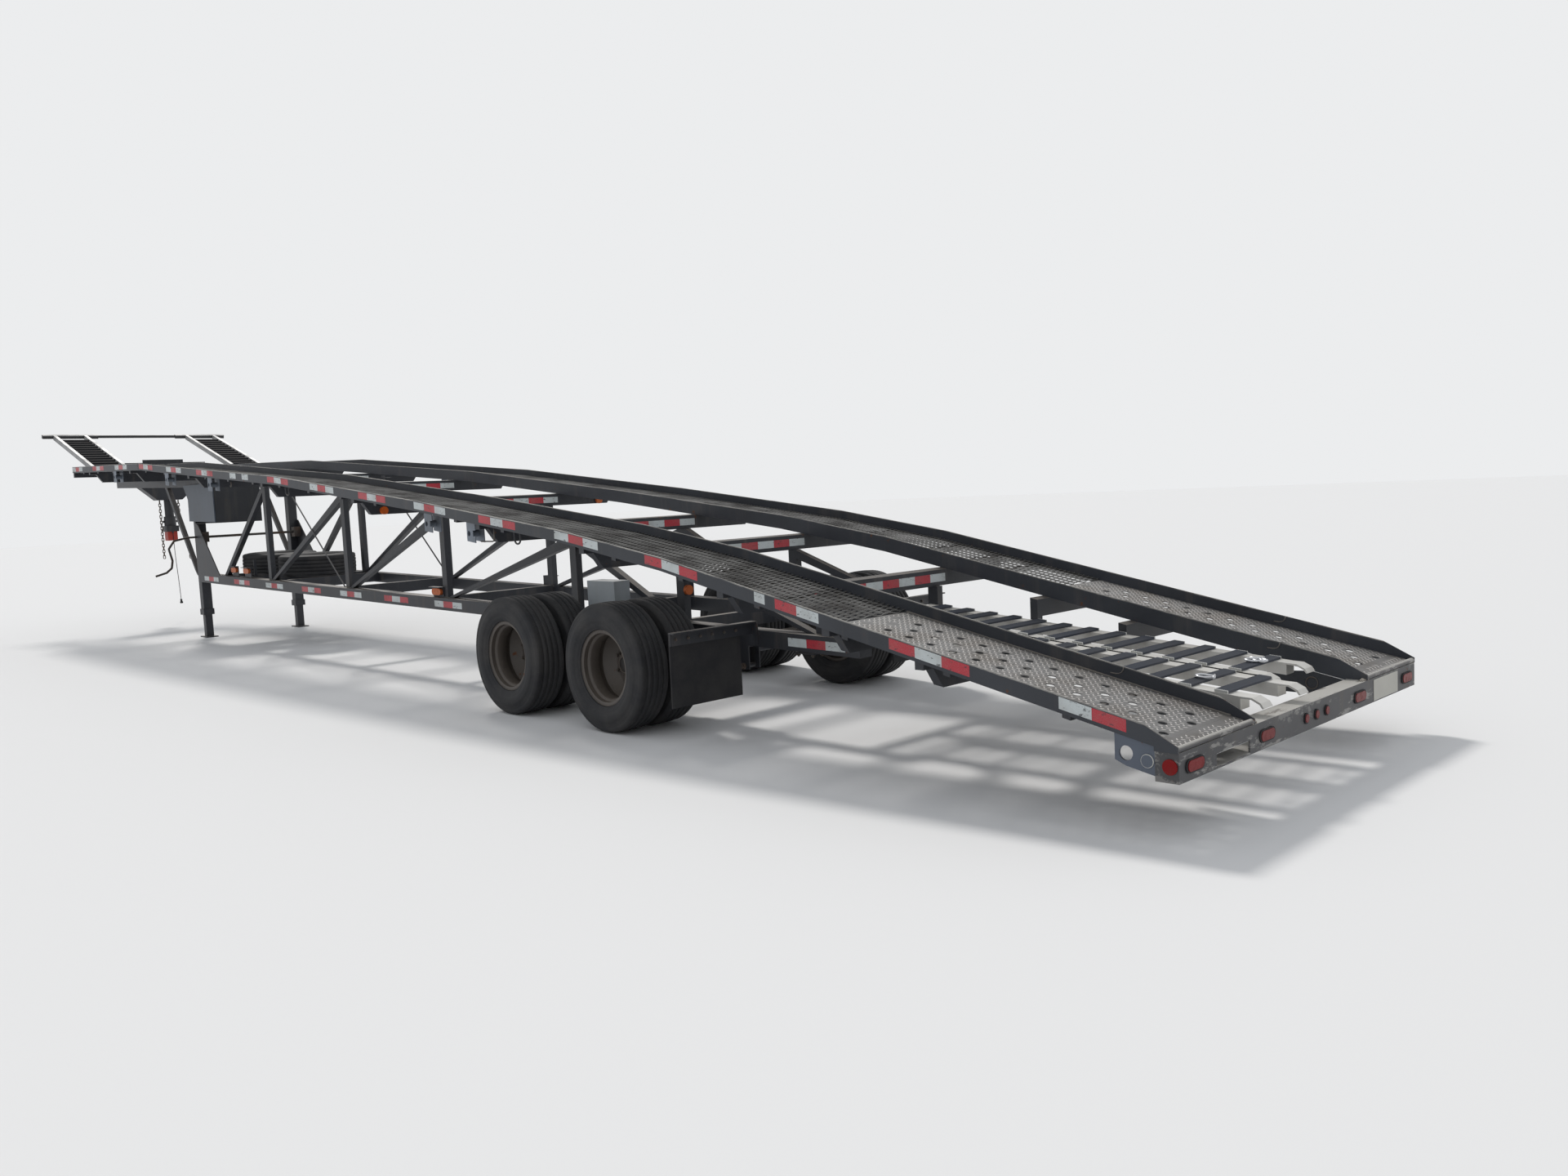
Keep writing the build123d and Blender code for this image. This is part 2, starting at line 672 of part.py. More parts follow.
# Spare wheels lying in the lower frame, tilted with its slope
spare_places = [(11700, 60), (10820, 0)]
spare_tread = [(rim_seat_radius, 0), (tyre_radius - 70, 0), (tyre_radius - 12, 30), (tyre_radius, 60),
               (tyre_radius, tyre_width - 60), (tyre_radius - 12, tyre_width - 30),
               (tyre_radius - 70, tyre_width), (rim_seat_radius, tyre_width)]
spare_barrel = [(70, 60), (rim_seat_radius, 60), (rim_seat_radius, tyre_width - 30),
                (rim_seat_radius - 10, tyre_width - 30), (rim_seat_radius - 10, 72), (70, 72)]


def spares(outline):
    """Turned solids with an outline of (radius, height), one for each spare wheel"""
    for x, y in spare_places:
        foot = Vector(rear + x, y, chord_top(x) + lower_member_step)
        with BuildSketch(Plane(origin=foot, x_dir=(1, 0, chord_rise), z_dir=(0, -1, 0))) as section:
            with BuildLine():
                Polyline(*outline, close=True)
            make_face()
        revolve(section.sketch, axis=Axis(foot, Vector(-chord_rise, 0, 1)))


with BuildPart() as spare_tyres:
    spares(spare_tread)
finish(spare_tyres, "spare_tyres")

with BuildPart() as spare_rims:
    spares(spare_barrel)
finish(spare_rims, "spare_rims")

# Axles: beam, spindles, brake backing plates and spring seats
spring_y = chord_face - chord_width / 2
spindle_radius = 40
with BuildPart() as axle_beams:
    for x in (rear_axle, front_axle):
        rod((x, -backing_face, tyre_radius), (x, backing_face, tyre_radius), axle_radius)
        for side in (-1, 1):
            rod((x, side * backing_face, tyre_radius), (x, side * (hub_mid + 20), tyre_radius), spindle_radius)
            rod((x, side * (backing_face - 8), tyre_radius), (x, side * backing_face, tyre_radius), drum_radius - 15)
            y = side * spring_y
            block(x - 60, x + 60, y - spring_width / 2, y + spring_width / 2,
                  tyre_radius - axle_radius - 12, tyre_radius - axle_radius / 2)
finish(axle_beams, "axle_beams")

# Leaf springs under the axles, each leaf shorter than the one above it
spring_pin_radius = 14
spring_half = (front_axle - rear_axle) / 2 - spring_pin_radius - seat_gap
leaf = 14
seat_z = tyre_radius - axle_radius - 12
with BuildPart() as leaf_springs:
    for x in (rear_axle, front_axle):
        for i, share in enumerate((1.0, 0.78, 0.56, 0.34)):
            half = spring_half * share
            rise = 46 * share * share
            top = seat_z - 1 - i * leaf
            with BuildSketch(Plane.XZ.offset(-spring_y - spring_width / 2)):
                with BuildLine():
                    a = (rear + x - half, top + rise)
                    b = (rear + x + half, top + rise)
                    c = (rear + x + half, top + rise - leaf)
                    d = (rear + x - half, top + rise - leaf)
                    ThreePointArc(a, (rear + x, top), b)
                    Line(b, c)
                    ThreePointArc(c, (rear + x, top - leaf), d)
                    Line(d, a)
                make_face()
            extrude(amount=spring_width)
    mirror(about=Plane.XZ)
finish(leaf_springs, "leaf_springs")

# Spring hangers under the chords
hanger_places = [2 * rear_axle - (rear_axle + front_axle) / 2, (rear_axle + front_axle) / 2,
                 2 * front_axle - (rear_axle + front_axle) / 2]
pin_z = seat_z + 46 - leaf / 2
with BuildPart() as spring_hangers:
    for x in hanger_places:
        w = hanger_width / 2
        for y in (spring_y - spring_width / 2 - 9, spring_y + spring_width / 2 + 1):
            side_prism([(x - w, chord_bottom(x - w)), (x - w, pin_z - 20), (x + w, pin_z - 20),
                        (x + w, chord_bottom(x + w))], y, y + 8)
        rod((x, spring_y - spring_width / 2 - 1, pin_z), (x, spring_y + spring_width / 2 + 1, pin_z), spring_pin_radius)
        side_prism([(x - w, chord_bottom(x - w)), (x + w, chord_bottom(x + w)),
                    (x + w, chord_bottom(x + w) - 10), (x - w, chord_bottom(x - w) - 10)],
                   spring_y - spring_width / 2 - 1, spring_y + spring_width / 2 + 1)
    mirror(about=Plane.XZ)
finish(spring_hangers, "spring_hangers")

# Twin wheels: tyres and wheels for each end of each axle
tyre_y = wheel_outer_face - tyre_width / 2
rim_half = 92
rim_wall = 10
disc_wall = 12
hub_clearance = 0.5
for axle_name, x in (("rear", rear_axle), ("front", front_axle)):
    for side_name, side in (("left", 1), ("right", -1)):
        turn = Axis((rear + x, 0, tyre_radius), (0, 1, 0))
        with BuildPart() as tyres:
            for centre in (tyre_y, tyre_y - dual_spacing):
                w = tyre_width / 2
                with BuildSketch(Plane.YZ.offset(rear + x)):
                    with BuildLine():
                        pts = [(rim_half - 9, rim_seat_radius), (rim_half - 9, rim_radius), (w - 14, rim_radius + 22),
                               (w, rim_radius + 80), (w - 12, tyre_radius - 24), (w - 30, tyre_radius - 4),
                               (w - 44, tyre_radius)]
                        loop = [(y, r) for y, r in pts] + [(-y, r) for y, r in reversed(pts)]
                        Polyline(*[(side * centre + y, tyre_radius + r) for y, r in loop], close=True)
                    make_face()
                revolve(axis=turn)
        finish(tyres, f"tyres_{axle_name}_{side_name}")

        with BuildPart() as wheels:
            mid = hub_mid
            with BuildSketch(Plane.YZ.offset(rear + x)):
                for centre, out in ((tyre_y, 1), (tyre_y - dual_spacing, -1)):
                    for y0, y1, r0, r1 in ((-rim_half, rim_half, rim_seat_radius - rim_wall, rim_seat_radius),
                                           (rim_half - 9, rim_half, rim_seat_radius - rim_wall, rim_radius),
                                           (-rim_half, 9 - rim_half, rim_seat_radius - rim_wall, rim_radius)):
                        with BuildLine():
                            Polyline(*[(side * (centre + y), tyre_radius + r) for y, r in
                                       ((y0, r0), (y1, r0), (y1, r1), (y0, r1))], close=True)
                        make_face()
                    with BuildLine():
                        Polyline(*[(side * y, tyre_radius + r) for y, r in
                                   ((mid + out * 75, rim_seat_radius - rim_wall),
                                    (mid + out * 92, rim_seat_radius - rim_wall),
                                    (mid + out * disc_wall, 150), (mid + out * disc_wall, hub_radius - 5),
                                    (mid, hub_radius - 5), (mid, 150))], close=True)
                    make_face()
                with BuildLine():
                    Polyline(*[(side * y, tyre_radius + r) for y, r in
                               ((mid - 240, spindle_radius + hub_clearance), (mid - 240, drum_radius),
                                (mid - 60, drum_radius), (mid - 60, 150), (mid - disc_wall, 150),
                                (mid - disc_wall, hub_radius - 5), (mid + 50, hub_radius - 20), (mid + 70, 50),
                                (mid + 70, 0), (mid + 26, 0), (mid + 26, spindle_radius + hub_clearance))], close=True)
                make_face()
            revolve(axis=turn)
        finish(wheels, f"wheels_{axle_name}_{side_name}")

# Mud flaps behind the wheels with their brackets
flap_inner = inner_face + 71.5
flap_outer = half_width - 55
flap_top = 640
bracket_drop = 70
with BuildPart() as mud_flaps:
    block(flap_x - 10, flap_x, flap_inner, flap_outer, 210, flap_top)
    mirror(about=Plane.XZ)
finish(mud_flaps, "mud_flaps")

with BuildPart() as flap_brackets:
    block(flap_x - 16, flap_x - 10, chord_face, flap_outer, flap_top - bracket_drop, flap_top)
    block(flap_x - 50, flap_x, chord_face, flap_outer, flap_top, flap_top + 8)
    block(flap_x - 60, flap_x + 20, chord_face, chord_face + 8, flap_top - 2 * bracket_drop, flap_top)
    mirror(about=Plane.XZ)
finish(flap_brackets, "flap_brackets")

# Small equipment box between the left wheels and the frame
equipment_rear = front_axle - 540
with BuildPart() as equipment_box:
    low = chord_top(equipment_rear)
    block(equipment_rear, equipment_rear + 310, chord_face, chord_face + 130, low, low + 255)
finish(equipment_box, "equipment_box")

# Stored loading ramps: two long side channels each, with slats across
def ramp_z(x):
    """Height of the stored ramps' underside"""
    return stored_rear_height + stored_slope * x


stored_ramps = [("left", 14, 130), ("right", -14 - stored_width, 300)]
with BuildPart() as stored_ramp_rails:
    for name, y, x0 in stored_ramps:
        x1 = x0 + stored_length
        for y0 in (y, y + stored_width - stored_rail):
            side_prism([(x0, ramp_z(x0)), (x1, ramp_z(x1)), (x1, ramp_z(x1) + stored_depth),
                        (x0, ramp_z(x0) + stored_depth)], y0, y0 + stored_rail)
            top = ramp_z(x0) + stored_depth
            side_prism([(x0, top - 8), (x0, top), (x0 - 50, top - 2), (x0 - 90, top - 22), (x0 - 104, top - 44),
                        (x0 - 96, top - 46), (x0 - 84, top - 29), (x0 - 47, top - 10)], y0, y0 + stored_rail)
finish(stored_ramp_rails, "stored_ramp_rails")

with BuildPart() as stored_ramp_slats:
    for name, y, x0 in stored_ramps:
        for i in range(13):
            x = x0 + 60 + i * 172
            z = ramp_z(x) + stored_depth
            side_prism([(x, z), (x + 60, z + 60 * stored_slope), (x + 60, z + 60 * stored_slope + 14), (x, z + 14)],
                       y + 6, y + stored_width - 6)
finish(stored_ramp_slats, "stored_ramp_slats")

# Lamps in the bumper: red lenses in rubber grommets; columns are y, width and height
lamp_z = 298
outer_lamp = half_width - 130.5
inner_lamp = inner_face - 108.5
oval_lamps = [(outer_lamp, 150, 56), (inner_lamp, 150, 56), (-inner_lamp, 150, 56), (-outer_lamp, 150, 56)]
round_lamps = [(115, 50), (0, 50), (-115, 50)]
with BuildPart() as tail_lamps:
    with BuildSketch(Plane.YZ.offset(rear)):
        for y, w, h in oval_lamps:
            with Locations((y, lamp_z)):
                SlotOverall(w - 20, h - 12)
        for y, d in round_lamps:
            with Locations((y, lamp_z)):
                Circle(d / 2 - 6)
    extrude(amount=-lamp_depth)
    for side in (-1, 1):
        y0, y1 = sorted((side * deck_outer, side * (deck_outer + 6)))
        rod((36, y0, lamp_z + 6), (36, y1, lamp_z + 6), 31)
finish(tail_lamps, "tail_lamps")

with BuildPart() as lamp_grommets:
    with BuildSketch(Plane.YZ.offset(rear)):
        for y, w, h in oval_lamps:
            with Locations((y, lamp_z)):
                SlotOverall(w, h)
                SlotOverall(w - 20, h - 12, mode=Mode.SUBTRACT)
        for y, d in round_lamps:
            with Locations((y, lamp_z)):
                Circle(d / 2)
                Circle(d / 2 - 6, mode=Mode.SUBTRACT)
    extrude(amount=-6)
finish(lamp_grommets, "lamp_grommets")

# Blank plate for the licence number, with a lamp hood above it
with BuildPart() as licence_plate:
    block(-2, 0, -inner_face - 406.5, -inner_face - 76.5, bumper_bottom + 6, bumper_top - 8)
finish(licence_plate, "licence_plate")

# Amber side lamps: oval ones on brackets along the chords, round ones facing the rear
oval_length = 150
oval_height = 56
round_diameter = 64
chord_lamps = [(7080, 45), (11375, 74), (11745, 74)]
lamp_plate = 6
lamp_plate_y = chord_face - 50
round_places = [(post_stations[1] - post_length, (post_inner + post_face) / 2, 810),
                (beam_stations[3] - beam_width, half_width - 245.5, 1415)]
with BuildPart() as lamp_brackets:
    for x, up in chord_lamps:
        z = chord_top(x) + up
        half = oval_length / 2 + 14
        top = z + oval_height / 2 + 8
        side_prism([(x - half, chord_top(x - half)), (x + half, chord_top(x + half)), (x + half, top), (x - half, top)],
                   lamp_plate_y, lamp_plate_y + lamp_plate)
        block(x - half, x + half, lamp_plate_y, chord_face, top, top + lamp_plate)
    mirror(about=Plane.XZ)
finish(lamp_brackets, "lamp_brackets")

with BuildPart() as amber_lamps:
    for x, up in chord_lamps:
        with BuildSketch(Plane.XZ.offset(-lamp_plate_y - lamp_plate)) as lens:
            with Locations((rear + x, chord_top(x) + up)):
                SlotOverall(oval_length, oval_height)
        extrude(lens.sketch, amount=-24)
    for x, y, z in round_places:
        rod((x - 24, y, z), (x, y, z), round_diameter / 2)
    mirror(about=Plane.XZ)
finish(amber_lamps, "amber_lamps")

# Head ramps over the tow vehicle: side rails, slats and top bars on a common hinge line
hinge_z = rail_height(deck_length) - hinge_drop
ramp_plane = Plane(origin=(rear + hinge_x, 0, hinge_z), x_dir=(math.cos(ramp_tilt), 0, math.sin(ramp_tilt)),
                   z_dir=(0, -1, 0))
eye_radius = head_rail_depth / 2
with BuildPart() as head_ramp_rails:
    for y0 in (head_ramp_inner, head_ramp_inner + head_ramp_width - head_rail_width):
        with BuildSketch(ramp_plane.offset(-y0 - head_rail_width)):
            with BuildLine():
                Polyline((0, -eye_radius), (head_ramp_length, -eye_radius), (head_ramp_length, eye_radius),
                         (0, eye_radius), close=True)
            make_face()
            Circle(eye_radius)
            Circle(hinge_pin / 2 + 0.5, mode=Mode.SUBTRACT)
        extrude(amount=head_rail_width)
    with BuildSketch(ramp_plane.offset(-bar_outer)):
        with Locations((head_ramp_length + bar_size / 2, eye_radius - bar_size / 2)):
            Rectangle(bar_size, bar_size)
    extrude(amount=bar_outer - bar_inner)
    mirror(about=Plane.XZ)
    with BuildSketch(ramp_plane.offset(-bar_inner)):
        with Locations((head_ramp_length + bar_size / 2, eye_radius - bar_size / 2)):
            Circle(20)
    extrude(amount=2 * bar_inner)
finish(head_ramp_rails, "head_ramp_rails")

with BuildPart() as head_ramp_slats:
    for i in range(12):
        with BuildSketch(ramp_plane.offset(-head_ramp_inner - head_ramp_width + head_rail_width)):
            with Locations((120 + i * head_slat_pitch, 8)):
                Rectangle(50, 20)
        extrude(amount=head_ramp_width - 2 * head_rail_width)
    mirror(about=Plane.XZ)
finish(head_ramp_slats, "head_ramp_slats")

# Front cross bar of the deck with the hinge lugs and pins of the head ramps
with BuildPart() as front_bar:
    block(deck_length - 40, deck_length, foot_edge, deck_outer - 1,
          rail_height(deck_length) - outer_rail_height - 60, rail_height(deck_length - 40) - outer_rail_height)
    lug_reach = hinge_x - deck_length + 20
    for y0 in (head_ramp_inner - 22, head_ramp_inner + head_ramp_width + 10):
        block(deck_length, deck_length + lug_reach, y0, y0 + 12, hinge_z - 112, hinge_z + 20)
    rod((hinge_x, head_ramp_inner - 10, hinge_z), (hinge_x, head_ramp_inner + head_ramp_width + 10, hinge_z),
        hinge_pin / 2)
    mirror(about=Plane.XZ)
finish(front_bar, "front_bar")
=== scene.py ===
# %% [markdown]
# # A wedge car hauler trailer
# The trailer is a welded frame that carries two arched runways. Its solids come from the construction model
# and stay where they are. This lesson gives them their finishes and adds what is too fine for the solids:
# the expanded metal, the tread plate's lugs, the tyres' ribs, the reflective tape, welds and bolts.
# Everything is in metres, +X forward, +Y to the left, +Z up, and the tables give distances from the rear face.

# %% Load the frame
import math
import bmesh
import bpy
import numpy as np
from mathutils import Matrix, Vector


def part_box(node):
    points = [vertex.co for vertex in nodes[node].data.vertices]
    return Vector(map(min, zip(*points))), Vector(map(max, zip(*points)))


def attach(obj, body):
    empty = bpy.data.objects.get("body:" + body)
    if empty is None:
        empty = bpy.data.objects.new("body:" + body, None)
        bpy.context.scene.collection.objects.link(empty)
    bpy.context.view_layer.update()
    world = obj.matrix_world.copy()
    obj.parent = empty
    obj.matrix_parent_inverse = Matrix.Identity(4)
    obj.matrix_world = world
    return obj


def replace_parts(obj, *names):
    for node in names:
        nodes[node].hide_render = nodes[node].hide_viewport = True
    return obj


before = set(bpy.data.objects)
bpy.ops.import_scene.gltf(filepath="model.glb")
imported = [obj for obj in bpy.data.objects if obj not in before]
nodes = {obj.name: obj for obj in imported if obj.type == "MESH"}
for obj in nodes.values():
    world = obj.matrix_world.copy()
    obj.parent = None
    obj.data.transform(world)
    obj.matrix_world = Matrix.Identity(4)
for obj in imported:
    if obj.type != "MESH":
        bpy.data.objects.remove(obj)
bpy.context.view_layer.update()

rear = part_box("rear_bumper")[0].x
print("nodes", len(nodes), "rear face at", round(rear, 4))

# %% [markdown]
# ## The camera
# The photograph was taken from behind on the left, at head height, with a wide phone lens. The camera's place and
# its three directions were worked out from the trailer's own straight edges, and they are written as one matrix.


# %% Camera
def show(name, data):
    """Object made of some data, put into the scene"""
    thing = bpy.data.objects.new(name, data)
    bpy.context.scene.collection.objects.link(thing)
    return thing


right = (-0.69754, -0.71497, -0.04749)
down = (-0.02643, 0.09190, -0.99542)
ahead = (0.71605, -0.69309, -0.08300)
axes = np.array([right, [-v for v in down], [-v for v in ahead]]).T
lens = bpy.data.cameras.new("camera")
focal_pixels, picture_pixels = 1454.1, 1920
lens.sensor_width = 36
lens.lens = focal_pixels / picture_pixels * lens.sensor_width
lens.clip_end = 500
camera = show("camera", lens)
camera.matrix_world = Matrix.Translation((rear - 2.168, 5.431, 1.434)) @ Matrix(axes.tolist()).to_4x4()
bpy.context.scene.camera = camera
print("camera lens", round(lens.lens, 2), "mm")

# %% [markdown]
# ## The cable at the nose
# A black cable hangs from a gland under the coupler and ends in a plug above the ground. A hanging cable has no
# corners, so it is one smooth spline through a few control points, the same ones as the solid tube has. Blender
# adds a point's radius to the curve's box, so the radius is small and the bevel is that much larger.

# %% Hanging cable
cable_x = 15.568
route = [(cable_x, 0, 1.230), (cable_x, 0, 1.060), (cable_x - 0.009, -0.004, 0.830),
         (cable_x - 0.022, -0.014, 0.560), (cable_x - 0.020, -0.022, 0.306)]
line = bpy.data.curves.new("trailer_cord", "CURVE")
line.dimensions = "3D"
cable_radius, thinning = 0.004, 0.01
line.bevel_depth = cable_radius / thinning
line.bevel_resolution = 3
line.resolution_u = 12
line.use_fill_caps = True
spline = line.splines.new("NURBS")
spline.points.add(len(route) - 1)
for point, (x, y, z) in zip(spline.points, route):
    point.co = (rear + x, y, z, 1)
    point.radius = thinning
spline.order_u = 3
spline.use_endpoint_u = True
cord = show("trailer_cord", line)
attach(cord, "trailer_frame")
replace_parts(cord, "trailer_cable")

# %% [markdown]
# ## Shader sums in Python
# A finish is easier to read as a formula than as a web of nodes. `Value` wraps one number output of a node, and
# a sum of two values adds the Math node for it. `Web` makes nodes, and `Finish` is the web of one material.


# %% Values and finishes
def linear(*steps):
    """Colour for a shader from three steps of 0 to 255, as a paint chart gives them"""
    c = np.array(steps) / 255
    return tuple(np.where(c <= 0.04045, c / 12.92, ((c + 0.055) / 1.055) ** 2.4)) + (1.0,)


def sums(operation, swapped=False):
    """Method of an operator that adds its Math node; the reflected form, as in 1 - mask, swaps the two terms"""
    if swapped:
        return lambda self, other: self.math(operation, other, self)
    return lambda self, other: self.math(operation, self, other)


class Value:
    """A number on a surface. Sums and products of it add Math nodes to its node tree."""

    def __init__(self, tree, socket):
        self.tree, self.socket = tree, socket

    def math(self, operation, *terms):
        node = self.tree.nodes.new("ShaderNodeMath")
        node.operation = operation
        for place, term in enumerate(terms):
            if isinstance(term, Value):
                self.tree.links.new(term.socket, node.inputs[place])
            else:
                node.inputs[place].default_value = term
        return Value(self.tree, node.outputs[0])

    __add__ = __radd__ = sums("ADD")
    __mul__ = __rmul__ = sums("MULTIPLY")
    __sub__, __rsub__ = sums("SUBTRACT"), sums("SUBTRACT", swapped=True)
    __truediv__ = sums("DIVIDE")
    __gt__, __lt__ = sums("GREATER_THAN"), sums("LESS_THAN")
    least, most = sums("MINIMUM"), sums("MAXIMUM")

    def sine(self):
        return self.math("SINE", self)

    def between(self, low, high):
        """0 below low, 1 above high, and a straight rise between them"""
        return ((self - low) / (high - low)).most(0.0).least(1.0)


class Web:
    """A tree of shader nodes"""

    def __init__(self, tree):
        self.tree = tree

    def node(self, kind, settings=None, values=None, out=0):
        """A node of a kind, its settings set first and then the values or links of its sockets"""
        node = self.tree.nodes.new("ShaderNode" + kind)
        for name, value in (settings or {}).items():
            setattr(node, name, value)
        for name, value in (values or {}).items():
            if isinstance(value, Value):
                self.tree.links.new(value.socket, node.inputs[name])
            else:
                node.inputs[name].default_value = value
        return Value(self.tree, node.outputs[out])


class Finish(Web):
    """A material with one Principled surface. What is the same all over is written on its sockets at once."""

    def __init__(self, name, **same):
        self.material = bpy.data.materials.new(name)
        self.material.use_nodes = True
        super().__init__(self.material.node_tree)
        self.surface = self.tree.nodes["Principled BSDF"]
        for socket, value in same.items():
            self.surface.inputs[socket.replace("_", " ")].default_value = value
        self.place = self.node("TexCoord", out="Object")

    def at(self, axis):
        """One coordinate of the point on the piece, in metres: X, Y or Z"""
        return self.node("SeparateXYZ", values={0: self.place}, out=axis)

    def up(self):
        """How far the surface faces upwards: 1 on top, 0 on a wall, -1 underneath"""
        return self.node("SeparateXYZ", values={0: self.node("TexCoord", out="Normal")}, out="Z")

    def stretched(self, x, y, z):
        """The point with each axis scaled, so that a pattern on it is longer along one of them"""
        return self.node("Mapping", values={"Vector": self.place, "Scale": (x, y, z)})

    def noise(self, scale, detail=4.0, rough=0.55, point=None):
        """Cloudy noise between 0 and 1; the scale is the number of clouds in a metre"""
        return self.node("TexNoise", values={"Vector": point or self.place, "Scale": scale, "Detail": detail,
                                             "Roughness": rough})

    def mix(self, share, first, second):
        """Colour between the first and the second by the share. A Mix node's sockets share their names over its
        data types, so they are given by number: 0 the share, 6 and 7 the colours, and output 2."""
        return self.node("Mix", {"data_type": "RGBA"}, {0: share, 6: first, 7: second}, out=2)

    def put(self, **sockets):
        for name, value in sockets.items():
            self.tree.links.new(value.socket, self.surface.inputs[name.replace("_", " ")])
        return self

    def so_far(self):
        """The base colour that the finish has up to now"""
        return Value(self.tree, self.surface.inputs["Base Color"].links[0].from_socket)

    def bump(self, height, depth, strength=0.6):
        """Normal of a surface whose height changes; the depth is in metres"""
        return self.put(Normal=self.node("Bump", values={"Height": height, "Distance": depth, "Strength": strength}))


def paint(name, finish):
    """A finish on the material slots of a CAD node or a new piece"""
    piece = nodes.get(name) or bpy.data.objects[name]
    piece.data.materials.clear()
    piece.data.materials.append(finish.material)


# %% [markdown]
# ## Worn black paint
# Most of the frame is black paint that has stood outside for years. Dust lies on whatever faces up, dirt runs
# down the walls, and small chips have rusted. One recipe takes the paint's colour and how much of each it has.

# %% Painted steel
dust_tone = linear(128, 118, 106)
rust_tone = linear(96, 58, 36)
# The pale tone of the rails' top edge: rubbed metal, and partly a painted highlight of the lit edge.
wear_and_highlight_tone = linear(150, 148, 144)


def painted(name, colour, dust=0.5, chips=0.35, gloss=0.45, fade=1.35, spots=14.0, shine=0.4):
    """Paint that fades in clouds, with dust on top faces, streaks down the walls and rusty chips"""
    f = Finish(name, Specular_IOR_Level=shine)
    clouds = f.noise(1.7, 5.0)
    fine = f.noise(60.0, 3.0)
    streaks = f.noise(9.0, 4.0, point=f.stretched(1.0, 1.0, 0.12))
    faded = tuple(min(1.0, c * fade + 0.006) for c in colour[:3]) + (1.0,)
    base = f.mix(clouds.between(0.35, 0.7), colour, faded)
    runs = streaks.between(0.56, 0.75) * 0.35 * dust
    settled = f.up().between(0.15, 0.9) * (clouds * 0.6 + fine * 0.55).between(0.25, 0.75) * dust
    dusty = (settled + runs + fine.between(0.62, 0.8) * 0.12 * dust).least(0.92)
    base = f.mix(dusty, base, dust_tone)
    blots = f.noise(spots, 6.0, 0.65)
    rusted = blots.between(0.665, 0.70) * chips * 2.2
    base = f.mix(rusted.least(1.0), base, rust_tone)
    f.put(Base_Color=base, Roughness=(gloss + dusty * 0.35 + rusted * 0.3).least(0.95))
    f.bump(blots * 0.5 + fine * 0.5, 0.0006, 0.5)
    return f


frame_black = painted("frame_black", linear(42, 44, 49), dust=0.55)
for name in ("cross_beams", "lower_chords", "truss_posts", "truss_diagonals", "lower_cross_members", "ramp_tray",
             "neck_frame", "leg_columns", "deck_cross_members", "front_bar", "flap_brackets", "lamp_brackets",
             "spring_hangers", "leaf_springs", "axle_beams", "jack_legs", "tie_loops"):
    paint(name, frame_black)
print("painted black:", sum(frame_black.material.name in m.name for o in nodes.values() for m in o.data.materials))

# %% [markdown]
# ## The rails' pale top edge: rubbed paint and painted highlight
# Tyres and chains rub the top edge of the rails bright, and the pale line there is also a painted highlight where light
# falls on the edge. The rails bend downwards at each joint, so the top line is the lowest of the straight lines through
# its stretches, and the depth below that line shows where the edge is. The tread plates' top and the middle of the
# expanded metal lie their own drops under the same line.

# %% Rail line and rail paint
rail_x = np.array([0, 3.1, 4.1, 6.0, 8.5, 12.3, 15.0])
rail_z = np.array([0.433, 1.085, 1.248, 1.484, 1.759, 2.057, 2.140])
plate_drop, mesh_drop = 0.066, 0.0635


def rail_height(x):
    """Height of the rails' top line at distances from the rear face"""
    return np.interp(x, rail_x, rail_z)


def below_rail(f):
    """Depth under the rails' top line, as a value on the surface"""
    along = f.at("X") - rear
    top = None
    for x0, z0, x1, z1 in zip(rail_x, rail_z, rail_x[1:], rail_z[1:]):
        slope = (z1 - z0) / (x1 - x0)
        straight = along * slope + (z0 - x0 * slope)
        top = straight if top is None else top.least(straight)
    return top - f.at("Z")


def rail_paint(name, colour, dust):
    """Rail paint: black, with a pale line along the top edge, partly rubbed paint and partly a painted highlight, that
    breaks up in patches
    """
    f = painted(name, colour, dust=dust, chips=0.4)
    # Pale top edge: partly rubbed paint, partly a painted highlight along the lit edge.
    wear_and_highlight_edge = (0.0045 - below_rail(f) + f.noise(22.0, 5.0) * 0.007).between(0.0015, 0.0045)
    wear_and_highlight_edge = wear_and_highlight_edge * f.noise(3.0, 2.0).between(0.28, 0.45)
    f.put(Base_Color=f.mix(wear_and_highlight_edge * 0.85, f.so_far(), wear_and_highlight_tone), Metallic=wear_and_highlight_edge * 0.5)
    return f


rail_black = rail_paint("rail_black", linear(44, 47, 53), 0.4)
paint("outer_rails", rail_black)
paint("inner_rails", rail_black)
print("rail top at the nose", rail_z[-1])

# %% [markdown]
# ## Other metal finishes
# The tread plates lost their paint to tyres and are grey with clouds of brown dirt. The loading ramps are bare
# aluminium, and the sides that face each other between them carry painted shade. The wheels have a dull brown paint
# with rusty chips. Two recipes serve them all: the one above for paint, and this one for bare metal.


# %% Bare and dirty metal
def bare_metal(name, colour, dirt, dirt_colour, metallic, rough):
    """Bare metal under clouds of dirt and fine scratches"""
    f = Finish(name)
    clouds = f.noise(4.0, 6.0, 0.6)
    grain = f.noise(180.0, 2.0, point=f.stretched(0.15, 1.0, 1.0))
    soil = clouds.between(0.42, 0.68) * dirt + grain.between(0.55, 0.8) * 0.12
    base = f.mix(soil.least(0.95), colour, dirt_colour)
    f.put(Base_Color=base, Metallic=(1.0 - soil.least(1.0)) * metallic, Roughness=(soil * 0.35 + rough).least(0.95))
    f.bump(grain * 0.4 + clouds, 0.0005, 0.35)
    return f


